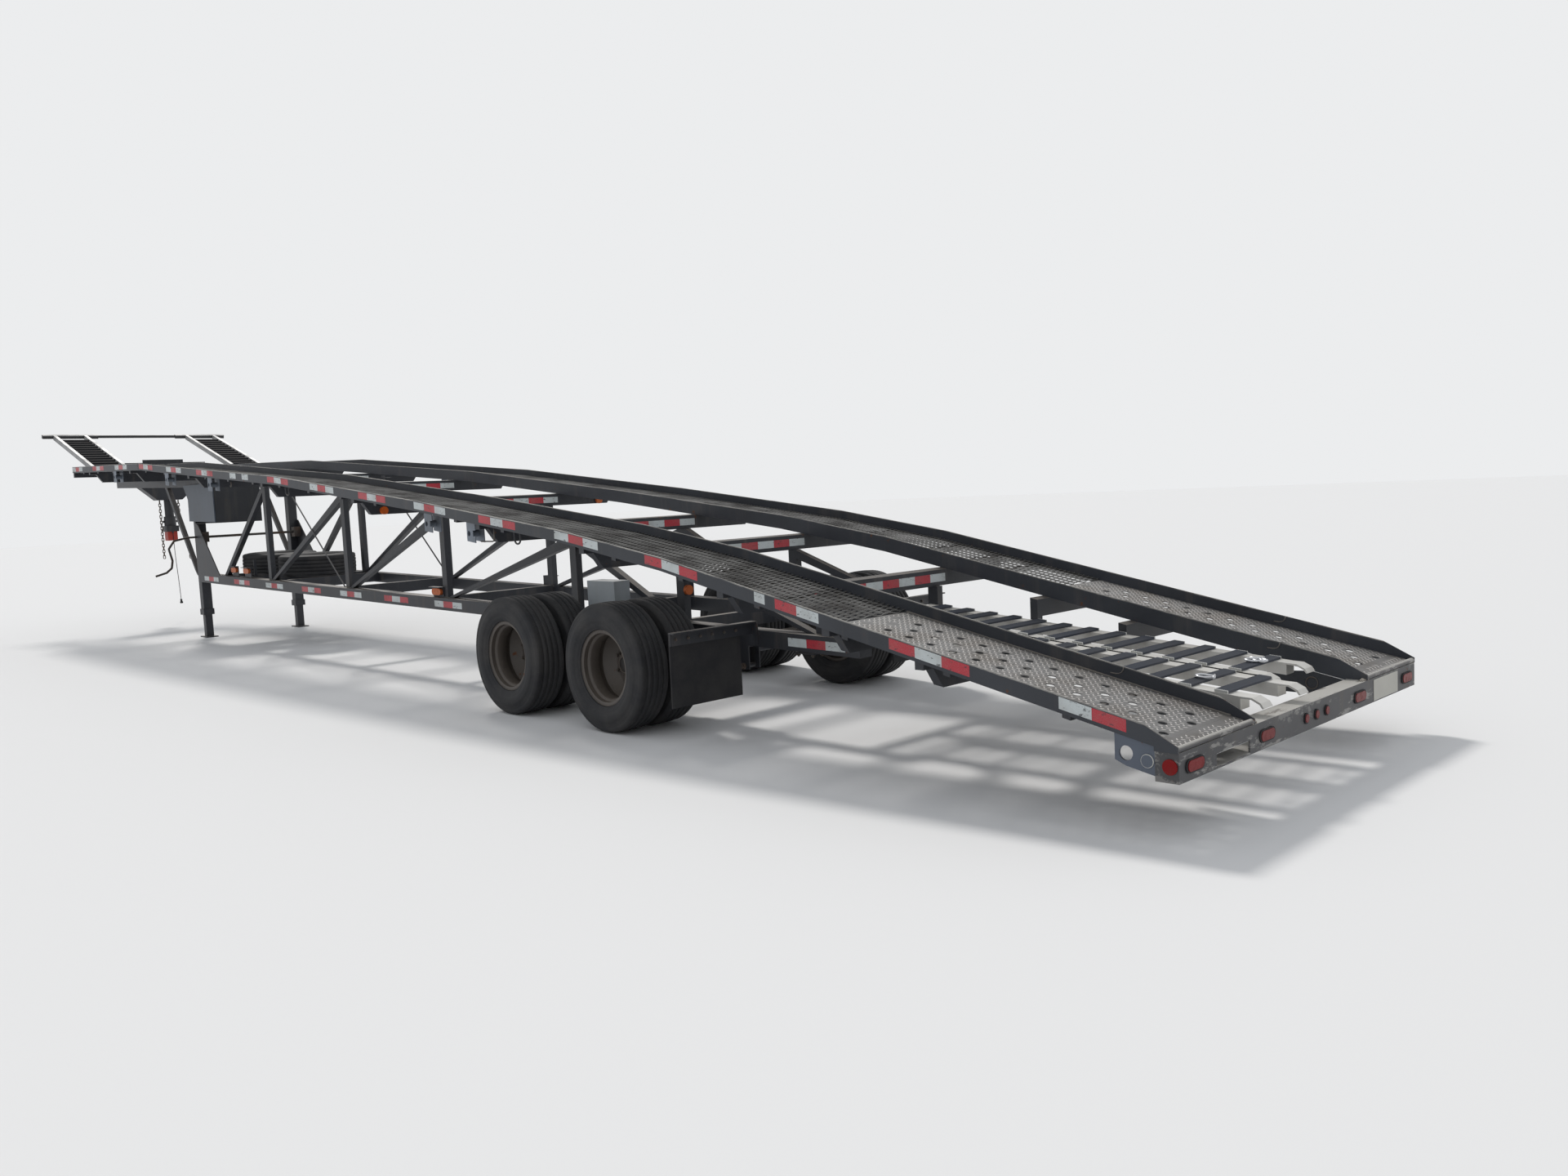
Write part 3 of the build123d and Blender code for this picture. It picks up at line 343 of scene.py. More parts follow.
tread_steel = bare_metal("tread_steel", linear(112, 111, 110), 0.7, linear(84, 77, 69), 0.4, 0.48)
paint("tread_plates", tread_steel)
ramp_aluminium = bare_metal("ramp_aluminium", linear(202, 200, 195), 0.4, linear(146, 140, 130), 0.45, 0.36)
# Painted shade: the upright sides of the two ramps that face each other in the middle are darkened to stand for shade.
across, facing = ramp_aluminium.at("Y"), 0.0165
shaded = (across > -facing) * (across < facing) * (1.0 - ramp_aluminium.up().most(0.0)) * 0.9
ramp_aluminium.put(Base_Color=ramp_aluminium.mix(shaded, ramp_aluminium.so_far(), linear(62, 61, 60)))
paint("stored_ramp_rails", ramp_aluminium)
slat_metal = bare_metal("slat_metal", linear(58, 63, 74), 0.35, linear(92, 90, 88), 0.45, 0.5)
paint("stored_ramp_slats", slat_metal)
zinc = bare_metal("zinc_steel", linear(118, 126, 137), 0.5, linear(96, 92, 86), 0.4, 0.5)
paint("strap_brackets", zinc)
head_rail = bare_metal("head_rail_steel", linear(150, 151, 152), 0.4, linear(86, 84, 82), 0.3, 0.5)
top_bars_from = 16.742
top_bars = head_rail.at("X") > rear + top_bars_from
head_rail.put(Base_Color=head_rail.mix(top_bars, head_rail.so_far(), linear(48, 48, 50)))
paint("head_ramp_rails", head_rail)
paint("head_ramp_slats", painted("slat_black", linear(34, 35, 38), dust=0.1, chips=0.15, gloss=0.8, shine=0.05))
paint("safety_chains", bare_metal("chain_steel", linear(98, 92, 84), 0.7, linear(84, 58, 40), 0.6, 0.55))
paint("jack_crank", bare_metal("crank_steel", linear(70, 68, 66), 0.7, linear(88, 62, 44), 0.5, 0.55))
paint("rear_side_plates", painted("side_grey", linear(72, 79, 90), dust=0.4, chips=0.8, fade=1.4))
paint("toolbox", painted("box_dark", linear(38, 40, 44), dust=0.4))
paint("toolbox_hinge", painted("hinge_dark", linear(52, 54, 58), dust=0.4))
paint("toolbox_door", painted("door_grey", linear(66, 74, 84), dust=0.35, chips=0.3))
paint("equipment_box", painted("box_grey", linear(150, 156, 160), dust=0.5, chips=0.2))
paint("licence_plate", painted("blank_plate", linear(168, 166, 158), dust=0.5, chips=0.2))
paint("coupler", painted("coupler_black", linear(40, 41, 44), dust=0.4, chips=0.6))
paint("coupler_latch", painted("latch_red", linear(150, 46, 34), dust=0.4, chips=0.7))
wheel_paint = painted("wheel_paint", linear(74, 68, 63), dust=0.4, chips=0.45, fade=1.3, spots=9.0)
for name in [n for n in nodes if n.startswith("wheels_")] + ["spare_rims"]:
    paint(name, wheel_paint)

# %% [markdown]
# ## The bumper's wear
# Cars cross the bumper, so its middle top face is rubbed to pale metal, while the rear face keeps dark paint with
# scraped patches. A mask from the way a face looks and from its height separates the two on one piece.

# %% Worn bumper paint
bumper = painted("bumper_worn", linear(58, 58, 60), dust=0.55, chips=0.9, fade=1.5)
scuffs = bumper.noise(11.0, 8.0, 0.7, point=bumper.stretched(1.0, 0.35, 1.6))
top = bumper.up().between(0.6, 0.9)
patches = bumper.noise(5.0, 9.0, 0.72, point=bumper.stretched(1.0, 0.6, 1.3))
rubbed = top * scuffs.between(0.36, 0.46) + scuffs.between(0.56, 0.60) * 0.5
rubbed = rubbed + patches.between(0.56, 0.585) * 0.28 + bumper.at("Z").between(0.372, 0.382) * 0.5
rubbed = rubbed.least(0.9)
bumper.put(Base_Color=bumper.mix(rubbed, bumper.so_far(), linear(176, 174, 169)), Metallic=rubbed * 0.4)
paint("rear_bumper", bumper)

# %% [markdown]
# ## Rubber and lenses
# Tyre rubber is never black outdoors: the flanks are a dull grey and the tread holds pale dust. The lamp lenses
# are coloured plastic with a clear gloss on top, ribbed inside, so a fine wave bends their normals.


# %% Rubber and lens finishes
def rubber(name, colour, dust):
    """Dull rubber with dust in clouds"""
    f = Finish(name, Specular_IOR_Level=0.3)
    clouds = f.noise(5.0, 6.0, 0.6)
    fine = f.noise(90.0, 3.0)
    dusty = (clouds.between(0.38, 0.72) * dust + fine.between(0.55, 0.8) * dust * 0.4).least(0.9)
    f.put(Base_Color=f.mix(dusty, colour, linear(88, 85, 82)), Roughness=dusty * 0.2 + 0.68)
    f.bump(fine, 0.0005, 0.4)
    return f


def lens_finish(name, colour, pale):
    """Coloured lamp plastic with a clear gloss and a fine grid of ribs, paler and pinker on the lamps towards the right
    side
    """
    f = Finish(name, Coat_Weight=0.12, Coat_Roughness=0.25, Specular_IOR_Level=0.12)
    dirt = f.noise(30.0, 4.0).between(0.5, 0.75) * 0.3
    # The lenses turn paler and pinker towards the right side of the trailer.
    paler_to_the_right = f.mix((1.05 - f.at("Y")).between(0.0, 0.5), colour, pale)
    f.put(Base_Color=f.mix(dirt, paler_to_the_right, linear(84, 62, 56)), Roughness=dirt + 0.3)
    ribs = (f.at("Y") + f.at("X")) * 900.0
    rise = f.at("Z") * 900.0
    f.bump(ribs.sine() * rise.sine(), 0.0006, 0.5)
    return f


tyre_rubber = rubber("tyre_rubber", linear(40, 41, 44), 0.38)
for name in [n for n in nodes if n.startswith("tyres_")] + ["spare_tyres"]:
    paint(name, tyre_rubber)
soft_rubber = rubber("soft_rubber", linear(33, 33, 36), 0.25)
for name in ("mud_flaps", "lamp_grommets", "cable_plug", "trailer_cord"):
    paint(name, soft_rubber)
paint("tail_lamps", lens_finish("lens_red", linear(124, 8, 12), linear(116, 30, 29)))
paint("amber_lamps", lens_finish("lens_amber", linear(196, 92, 34), linear(196, 104, 56)))
print("materials", len(bpy.data.materials))

# %% [markdown]
# ## Surfaces from arrays
# The fine pieces are too many to place by hand. Each small shape is a grid of points, and one array holds the turn
# and the place of every copy, so that thousands of them are worked out at once and become one mesh.


# %% Helpers for meshes
def xyz(x, y, z):
    """Points from their three coordinates, any of which may be one number for all of them"""
    return np.stack(np.broadcast_arrays(x, y, z), -1)


def circle(steps, first=0.0):
    """Cosines and sines of equal steps around a circle"""
    angle = (np.arange(steps) + first) * 2 * math.pi / steps
    return np.cos(angle), np.sin(angle)


def walked(path):
    """Distance walked along a path up to each of its points"""
    return np.concatenate([[0], np.cumsum(np.linalg.norm(np.diff(path, axis=0), axis=1))])


def grid_faces(rows, columns, close_rows=False, close_columns=False):
    """Four-sided faces of a grid of points, numbered row by row; a closed direction joins its last line to its first"""
    r = np.arange(rows if close_rows else rows - 1)[:, None]
    c = np.arange(columns if close_columns else columns - 1)[None, :]
    here, there = r * columns, (r + 1) % rows * columns
    corners = [here + c, here + (c + 1) % columns, there + (c + 1) % columns, there + c]
    return np.stack([np.broadcast_to(k, (len(r), c.shape[1])) for k in corners], -1).reshape(-1, 4)


def copies(points, faces, turns, places):
    """Copies of a small shape: each has its points turned by its own matrix and moved to its own place"""
    moved = np.einsum("nij,pj->npi", turns, points) + places[:, None, :]
    numbers = faces[None] + (np.arange(len(places)) * len(points))[:, None, None]
    return moved.reshape(-1, 3), numbers.reshape(-1, faces.shape[1])


def piece(name, points, faces, finish, body="trailer_frame", slot="frame_black", smooth=False, crisp=False):
    """Mesh object from arrays of points and faces, riding on a body; distances from the rear face become X. A crisp
    piece has its poles merged and its edges kept sharp where faces turn by more than 35 degrees."""
    mesh = bpy.data.meshes.new(name)
    mesh.from_pydata(points + np.array([rear, 0, 0]), [], faces.tolist())
    if crisp:
        shell = bmesh.new()
        shell.from_mesh(mesh)
        bmesh.ops.remove_doubles(shell, verts=shell.verts, dist=1e-5)
        shell.to_mesh(mesh)
        shell.free()
    mesh.polygons.foreach_set("use_smooth", np.full(len(mesh.polygons), smooth))
    if crisp:
        mesh.set_sharp_from_angle(angle=math.radians(35))
    mesh.materials.append(finish.material)
    thing = show(name, mesh)
    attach(thing, body)
    print(name, "faces", len(mesh.polygons))
    return thing


def tube(path, radius, sides=8, closed=False):
    """Round bar along a path: at each point a circle stands in the plane that halves the bend there"""
    path = np.asarray(path, float)
    before, after = np.roll(path, 1, 0), np.roll(path, -1, 0)
    if not closed:
        before[0], after[-1] = path[0], path[-1]
    along = after - before
    along /= np.linalg.norm(along, axis=1)[:, None]
    flat = np.linalg.svd(path - path.mean(0))[2][-1]
    first = np.cross(along, flat)
    first /= np.linalg.norm(first, axis=1)[:, None]
    second = np.cross(along, first)
    c, s = circle(sides)
    around = c[None, :, None] * first[:, None] + s[None, :, None] * second[:, None]
    radii = np.broadcast_to(radius, len(path))[:, None, None]
    points = (path[:, None] + radii * around).reshape(-1, 3)
    faces = grid_faces(len(path), sides, closed, True)
    if not closed:
        k = np.arange(sides // 2 - 1)
        cap = np.stack([k, k + 1, sides - 2 - k, sides - 1 - k], -1)
        faces = np.concatenate([faces, cap[:, ::-1], cap + (len(path) - 1) * sides])
    return points, faces


def joined(*shapes):
    """Several shapes as one array of points and one of faces"""
    counts = np.cumsum([0] + [len(p) for p, f in shapes[:-1]])
    return np.concatenate([p for p, f in shapes]), np.concatenate([f + n for (p, f), n in zip(shapes, counts)])


def ring(x, y, z, radius, thick, steps):
    """Round bar bent to a circle that stands in the plane of the trailer's side"""
    c, s = circle(steps)
    return tube(xyz(x + radius * c, y, z + radius * s), thick, 6, True)


def box_shape(low, high):
    """Eight corners and six faces between a low and a high corner"""
    low, high = np.array(low, float), np.array(high, float)
    pick = np.array([(0, 0, 0), (1, 0, 0), (1, 1, 0), (0, 1, 0), (0, 0, 1), (1, 0, 1), (1, 1, 1), (0, 1, 1)])
    faces = [(3, 2, 1, 0), (4, 5, 6, 7), (0, 1, 5, 4), (1, 2, 6, 5), (2, 3, 7, 6), (3, 0, 4, 7)]
    return np.where(pick, high, low), np.array(faces)


def nuts(places, toward, radius=0.012, height=0.010, stud=0.55):
    """Six-sided nuts on places, each with the round end of its bolt standing out of it"""
    toward = np.array(toward, float)
    base, faces = joined(tube([toward * 0, toward * height], radius, 6),
                         tube([toward * 0, toward * height * 1.7], radius * stud, 8))
    places = np.asarray(places, float)
    return copies(base, faces, np.broadcast_to(np.eye(3), (len(places), 3, 3)), places)


# %% [markdown]
# ## Expanded metal
# The runways ahead of the tread plates are expanded metal: a steel sheet slit and pulled open, so that every strand
# runs in a zigzag across the deck and leans over, bonded to its neighbours at the turns. One strand is a leaning
# rectangle carried along a zigzag, and the deck is the same strand many times, every second one mirrored.

# %% Expanded metal decks
deck_inner, deck_outer, mesh_start, mesh_end = 0.6365, 1.289, 1.860, 15.0
short_way, long_way, bond = 0.034, 0.135, 0.022
strand_wide, strand_thick, lean = 0.0088, 0.0044, math.radians(48)
mesh_steel = bare_metal("mesh_steel", linear(122, 121, 119), 0.75, linear(56, 51, 47), 0.7, 0.36)


def expanded_metal(side):
    """Strands j = 0, 1, 2 ... each half a short way ahead of the last. Along the width the strand steps between its
    low and high turns, a quarter of the short way to either side, and its section leans by one angle."""
    steps = np.arange(int((deck_outer - deck_inner) / (long_way / 2)) + 2)
    centres = deck_inner + 0.004 + steps * long_way / 2
    y = np.stack([centres - bond / 2, centres + bond / 2], -1).reshape(-1).clip(deck_inner + 0.002, deck_outer - 0.002)
    turn = np.repeat(np.where(steps % 2, 1.0, -1.0), 2)
    strands = np.arange(int((mesh_end - mesh_start - 0.03) / (short_way / 2)))
    sign = np.where(strands % 2, 1.0, -1.0)[:, None] * turn[None, :]
    x = mesh_start + 0.016 + strands[:, None] * short_way / 2
    x = x + sign * (short_way / 4 - strand_wide / 2 * math.sin(lean))
    z_shift = sign * strand_wide / 2 * math.cos(lean)
    tall = np.array([-math.sin(lean), math.cos(lean)]) * strand_wide / 2
    thick = np.array([math.cos(lean), math.sin(lean)]) * strand_thick / 2
    corners = np.array([tall + thick, tall - thick, -tall - thick, -tall + thick])
    px = x[:, :, None] + corners[:, 0]
    pz = rail_height(px) - mesh_drop + z_shift[:, :, None] + corners[:, 1]
    points = xyz(px, side * y[:, None], pz)
    one = grid_faces(len(y), 4, close_columns=True)
    ends = np.array([[3, 2, 1, 0], [4 * len(y) - 4 + k for k in range(4)]])
    one = np.concatenate([one, ends])
    if side > 0:
        one = one[:, ::-1]
    numbers = one[None] + (np.arange(len(strands)) * len(y) * 4)[:, None, None]
    return points.reshape(-1, 3), numbers.reshape(-1, 4)


sides = {"left": 1, "right": -1}
for label, side in sides.items():
    decking = piece("expanded_metal_" + label, *expanded_metal(side), mesh_steel, slot="mesh_steel")
    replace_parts(decking, "mesh_decks")

# %% [markdown]
# ## Tread plate lugs
# A tread plate is rolled with raised lugs that point left and right in turn, so that a shoe finds an edge whichever
# way it slips. Here every lug is a small lens of a few faces, left out where a round hole goes through the plate.

# %% Lugs on the tread plates
lug_x, lug_y = 0.0345, 0.038
hole_pitch, hole_row, hole_first, hole_room = 0.1324, 0.1168, 0.142, 0.0285
lane = (deck_inner + deck_outer) / 2
u, v = np.meshgrid(np.linspace(-1, 1, 5), np.linspace(-1, 1, 3), indexing="ij")
width = 0.0036 * (1 - u ** 2) ** 0.5 + 0.0004
lug_points = xyz(u * 0.0125, v * width, 0.0016 * (1 - u ** 2) * (1 - v ** 2) - 0.0002).reshape(-1, 3)
lug_faces = grid_faces(5, 3)[:, ::-1]


def lug_places():
    """Centres of the lugs on two grids, the second half a step on and turned the other way"""
    i, j, k = np.meshgrid(np.arange(-2, 52), np.arange(-10, 10), np.arange(2), indexing="ij")
    x = (0.112 + (i + k * 0.5) * lug_x).ravel()
    y = (lane + (j + k * 0.5) * lug_y).ravel()
    hand = np.where(k.ravel(), -1.0, 1.0)
    plate_start, plate_seam, seam_room, edge_room = 0.042, 0.100, 0.012, 0.014
    keep = (x > plate_start) & (abs(x - plate_seam) > seam_room) & (x < mesh_start - seam_room)
    keep &= (y > deck_inner + edge_room) & (y < deck_outer - edge_room)
    for row, s in ((-1.5, 0.5), (-0.5, 0.0), (0.5, 0.5), (1.5, 0.0)):
        near = (x - hole_first - s * hole_pitch) / hole_pitch
        dx = (near - np.round(near)) * hole_pitch
        keep &= np.hypot(dx, y - lane - row * hole_row) > hole_room
    return x[keep], y[keep], hand[keep]


def lugs(side):
    """Each lug is turned by its 50 degrees to the left or right and sheared upwards by the plate's slope"""
    x, y, hand = lug_places()
    slope = np.gradient(rail_height(x + np.array([[-0.01], [0.01]])), axis=0)[0] / 0.02
    angle = hand * side * -math.radians(50)
    c, s = np.cos(angle), np.sin(angle)
    turns = np.stack([xyz(c, -s, 0), xyz(s, c, 0), xyz(c * slope, -s * slope, 1)], 1)
    return copies(lug_points, lug_faces, turns, xyz(x, side * y, rail_height(x) - plate_drop))


def plate_end(side):
    """Strip of plate from the tread plate's rear edge down to the round bar on the bumper"""
    x = np.array([0.0265, 0.0995])
    top = rail_height(x) - plate_drop
    thick = 0.004
    rows = [(x[0], top[0] - thick), (x[1], top[1] - thick), (x[1], top[1]), (x[0], top[0])]
    points = np.array([(a, side * y, z) for y in (deck_inner + 0.001, deck_outer - 0.001) for a, z in rows])
    faces = np.array([(0, 4, 5, 1), (1, 5, 6, 2), (2, 6, 7, 3), (3, 7, 4, 0), (0, 1, 2, 3), (4, 7, 6, 5)])
    return points, faces if side > 0 else faces[:, ::-1]


piece("plate_ends", *joined(plate_end(1), plate_end(-1)), tread_steel, slot="deck_rust")
lug_steel = bare_metal("lug_steel", linear(196, 192, 188), 0.3, linear(140, 130, 120), 0.45, 0.38)
for label, side in sides.items():
    piece("tread_lugs_" + label, *lugs(side), lug_steel, slot="deck_rust", smooth=True)

# %% [markdown]
# ## Tyres
# A truck tyre is one profile turned about the axle: bead, bulging flank, a shoulder with an edge, and a tread of five
# ribs between four grooves. The profile is a table of places, half of it, and its mirror image gives the other half.

# %% Ribbed tyres
flank = [(0.0832, 0.2221), (0.0832, 0.2352), (0.0860, 0.2368), (0.0930, 0.2368), (0.0985, 0.2385), (0.1010, 0.2430),
         (0.1010, 0.2470), (0.1050, 0.2500), (0.1110, 0.2680), (0.1150, 0.2850), (0.1160, 0.2860), (0.1172, 0.3050),
         (0.1174, 0.3180), (0.1160, 0.3360), (0.1150, 0.3370), (0.1130, 0.3500), (0.1105, 0.3600), (0.1080, 0.3680),
         (0.1090, 0.3715), (0.1072, 0.3790), (0.1030, 0.3870), (0.0985, 0.3925), (0.0945, 0.3952)]
half_ribs = [(0.0920, 0.3962), (0.0625, 0.3980), (0.0605, 0.3885), (0.0545, 0.3885), (0.0525, 0.3988),
             (0.0245, 0.3998), (0.0225, 0.3895), (0.0165, 0.3895), (0.0145, 0.4000)]
outer_half = flank + half_ribs
tyre_line = np.array(outer_half + [(-y, r) for y, r in reversed(outer_half)])


def turned(line, centre, steps, closed=True, axis=1):
    """A line of (along the axle, radius) turned about the axle through the centre. Its signed area tells which way
    it runs, and so which way round the faces have to be numbered to look outwards."""
    line = np.asarray(line, float)
    y, r = line.T
    area = np.sum(y * np.roll(r, -1) - r * np.roll(y, -1))
    across, up = (np.outer(share, r) for share in circle(steps))
    points = xyz(across, y, up) if axis == 1 else xyz(across, up, y)
    faces = grid_faces(steps, len(line), True, closed)
    if (area > 0) == (axis == 1):
        faces = faces[:, ::-1]
    return (points + np.array(centre)).reshape(-1, 3), faces


axles, axle_height = {"rear": 3.766, "front": 4.870}, 0.400
hub_y, half_dual = 1.024, 0.1335
for axle, x in axles.items():
    for label, side in sides.items():
        places = [(x, side * (hub_y + out), axle_height) for out in (half_dual, -half_dual)]
        pair = joined(*(turned(tyre_line, place, 96) for place in places))
        tread = piece(f"ribbed_tyres_{axle}_{label}", *pair, tyre_rubber, body=f"wheels_{axle}_{label}",
                      slot="tyre_rubber", smooth=True)
        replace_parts(tread, f"tyres_{axle}_{label}")

# %% [markdown]
# ## Wheels
# A twin wheel is two steel rims on one hub. Each rim is a rolled ring with a lip, a seat and a well, and each disc is
# a shallow cone that is bolted to the hub; the brake drum sits inside the inner one. All of them are turned lines.

# %% Rims, discs, hub and wheel nuts
half_rim = [(0.0830, 0.2215), (0.0830, 0.2340), (0.0860, 0.2355), (0.0920, 0.2350), (0.0925, 0.2320),
            (0.0888, 0.2300), (0.0882, 0.2180), (0.0855, 0.2130), (0.0600, 0.2110)]
rim_line = half_rim + [(0.052, 0.1990), (0.046, 0.1955), (-0.012, 0.1955), (-0.022, 0.1990), (-0.040, 0.2100),
                       (-0.0855, 0.2130)] + [(-y, r) for y, r in half_rim[-3::-1]] + [
                       (-0.050, 0.2190), (-0.030, 0.2110), (-0.018, 0.2040), (0.044, 0.2040), (0.053, 0.2080),
                       (0.062, 0.2190)]
disc_line = [(0.012, 0.092), (0.012, 0.146), (0.016, 0.153), (0.060, 0.197), (0.079, 0.2105), (0.066, 0.2110),
             (0.052, 0.2040), (0.006, 0.1590), (0.0004, 0.1500), (0.0004, 0.092)]
hub_line = [(0.026, 0.0), (0.026, 0.0405), (-0.240, 0.0405), (-0.240, 0.186), (-0.236, 0.190), (-0.064, 0.190),
            (-0.060, 0.186), (-0.060, 0.150), (-0.0125, 0.148), (-0.0125, 0.0915), (0.0125, 0.0915), (0.022, 0.088),
            (0.043, 0.083), (0.056, 0.074), (0.066, 0.060), (0.0695, 0.054), (0.0695, 0.047), (0.062, 0.045),
            (0.060, 0.0)]
cap_line = [(0.0605, 0.0), (0.0605, 0.0445), (0.068, 0.043), (0.0705, 0.036), (0.0705, 0.0)]
nut_circle, nut_count = 0.119, 8


def wheel_shapes(x, side):
    """Hub and drum, two rims, two discs and a circle of nuts, as one shape"""
    hub = (x, side * hub_y, axle_height)
    shapes = [turned(np.array(hub_line) * (side, 1), hub, 48, closed=False)]
    for out in (1, -1):
        rim = (x, side * (hub_y + out * half_dual), axle_height)
        shapes.append(turned(np.array(rim_line) * (side * out, 1), rim, 72))
        shapes.append(turned(np.array(disc_line) * (side * out, 1), hub, 72))
    c, s = circle(nut_count, 0.5)
    places = xyz(x + nut_circle * c, side * (hub_y + 0.0122), axle_height + nut_circle * s)
    shapes.append(nuts(places, (0, side, 0), 0.0185, 0.018))
    return joined(*shapes)


hub_dark = painted("hub_dark", linear(38, 36, 35), dust=0.3, chips=0.3)
for axle, x in axles.items():
    for label, side in sides.items():
        body = f"wheels_{axle}_{label}"
        wheel = piece(f"rims_and_hub_{axle}_{label}", *wheel_shapes(x, side), wheel_paint, body=body,
                      slot="wheel_paint", smooth=True, crisp=True)
        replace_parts(wheel, body)
        cap = turned(np.array(cap_line) * (side, 1), (x, side * hub_y, axle_height), 32, closed=False)
        piece(f"hub_cap_{axle}_{label}", *cap, hub_dark, body=body, slot="wheel_paint", smooth=True, crisp=True)

# %% [markdown]
# ## Spare wheels
# Two spares lie flat between the lower chords, on members that rise towards the front, so the same turned lines are
# used with an upright axle and then leaned by that slope.

# %% Spare tyres and rims
chord_rise = 0.0177
half_tyre = 0.1175
spare_disc = [(-0.0575, 0.070), (-0.0575, 0.190), (-0.050, 0.2105), (-0.038, 0.2105), (-0.0455, 0.188),
              (-0.0455, 0.070)]


def chord_top(x):
    """Height of the lower chord's upper side at distances from the rear face"""
    return 0.476 + (x - 2.250) * chord_rise + 0.102


def lying(line, steps, x, y):
    """A line turned about an upright axle, leaned with the chords and set on the members at a place"""
    points, faces = turned(line, (0, 0, half_tyre), steps, axis=2)
    tip = np.array([[1, 0, -chord_rise], [0, 1, 0], [chord_rise, 0, 1]]) / math.hypot(1, chord_rise)
    foot = np.array([x, y, chord_top(x) + 0.010])
    return points @ tip.T + foot, faces


spares = ((11.700, 0.060), (10.820, 0.0))
lying_tyres = joined(*(lying(tyre_line, 96, x, y) for x, y in spares))
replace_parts(piece("ribbed_spare_tyres", *lying_tyres, tyre_rubber, slot="tyre_rubber", smooth=True), "spare_tyres")
lying_rims = joined(*(lying(line, 72, x, y) for x, y in spares for line in (rim_line, spare_disc)))
spare_wheels = piece("spare_wheel_rims", *lying_rims, wheel_paint, slot="wheel_paint", smooth=True, crisp=True)
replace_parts(spare_wheels, "spare_rims")

# %% [markdown]
# ## Slats of the stored ramps
# The two loading ramps lie in a tray behind the axles. Their slats are extruded planks with eight sharp ribs along
# the top for grip, so the sawn ends look like a comb. The sawn ends are bright, and the planks between are dark.

# %% Ribbed slats
stored = ((0.014, 0.130), (-0.484, 0.300))
stored_slope, stored_base, slat_wide, ribs = 0.088, 0.431, 0.060, 8


def slat(x, y0, y1):
    """A section with a zigzag top of eight ribs, carried from y0 to y1; the two ends are closed by strips"""
    across = np.linspace(0, slat_wide, 2 * ribs + 1)
    top = np.where(np.arange(2 * ribs + 1) % 2, 0.014, 0.0103)
    base = stored_base + stored_slope * (x + across)
    loop_x = x + np.concatenate([across, across[::-1]])
    loop_z = np.concatenate([base + top, base[::-1] + 0.0002])
    n = len(loop_x)
    points = np.concatenate([xyz(loop_x, y, loop_z) for y in (y0, y1)])
    k = np.arange(2 * ribs)
    end = np.stack([k, k + 1, n - 2 - k, n - 1 - k], -1)
    return points, np.concatenate([grid_faces(2, n, False, True), end[:, ::-1], end + n])


planks, combs = [], []
for y, start in stored:
    for i in range(13):
        x = start + 0.060 + 0.172 * i
        planks.append(slat(x, y + 0.015, y + 0.455))
        combs += [slat(x, y + 0.006, y + 0.015), slat(x, y + 0.455, y + 0.464)]
bright_cut = bare_metal("bright_cut", linear(206, 206, 202), 0.2, linear(150, 146, 138), 0.4, 0.35)
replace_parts(piece("ramp_slat_planks", *joined(*planks), slat_metal, slot="bare_steel"), "stored_ramp_slats")
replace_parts(piece("ramp_slat_combs", *joined(*combs), bright_cut, slot="bare_steel"), "stored_ramp_slats")

# %% [markdown]
# ## Shackles, hooks and welds
# Small ironwork is round bar on a path: shackles that lie on the stored ramps, hooks drawn on the rails' faces, and
# the beads of weld around the truss posts and along the tread plates. A bead is a bar whose thickness ripples.


# %% Round bar pieces and weld beads
def shackle(x, y, z, turn):
    """Bow of a shackle lying flat, an open circle that narrows to its pin"""
    angle = np.radians(np.linspace(-130, 130, 17))
    bow = np.stack([0.031 * np.cos(angle), 0.031 * np.sin(angle)], -1)
    bow = np.concatenate([[(-0.046, -0.019)], bow, [(-0.046, 0.019)]])
    c, s = math.cos(turn), math.sin(turn)
    place = np.array([[c, -s], [s, c]])
    pin = np.array([(-0.046, -0.036), (-0.046, 0.036)])
    bars = [place @ p.T for p in (bow, pin)]
    bars = [xyz(px + x, py + y, px * stored_slope + z) for px, py in bars]
    return joined(tube(bars[0], 0.0065), tube(bars[1], 0.0075))


def bead(path, size=0.0045):
    """Weld along a path, cut into short steps whose thickness rises and falls"""
    path = np.asarray(path, float)
    far = walked(path)
    steps = np.linspace(0, far[-1], max(3, int(far[-1] / 0.011)))
    fine = np.stack([np.interp(steps, far, path[:, k]) for k in range(3)], -1)
    return tube(fine, size * (1 + 0.22 * np.sin(steps * 560) + 0.1 * np.sin(steps * 173)), 6)


ramp_top = stored_base + 0.014 + 0.0068
shackles = [shackle(x, y, ramp_top + stored_slope * x, turn) for x, y, turn in
            ((0.388, 0.300, 0.4), (0.372, -0.262, 2.3), (0.402, -0.235, 0.9))]
zinc_bright = bare_metal("zinc_bright", linear(196, 198, 202), 0.15, linear(140, 136, 130), 0.9, 0.25)
piece("shackles", *joined(*shackles), zinc_bright, slot="chain_steel", smooth=True)

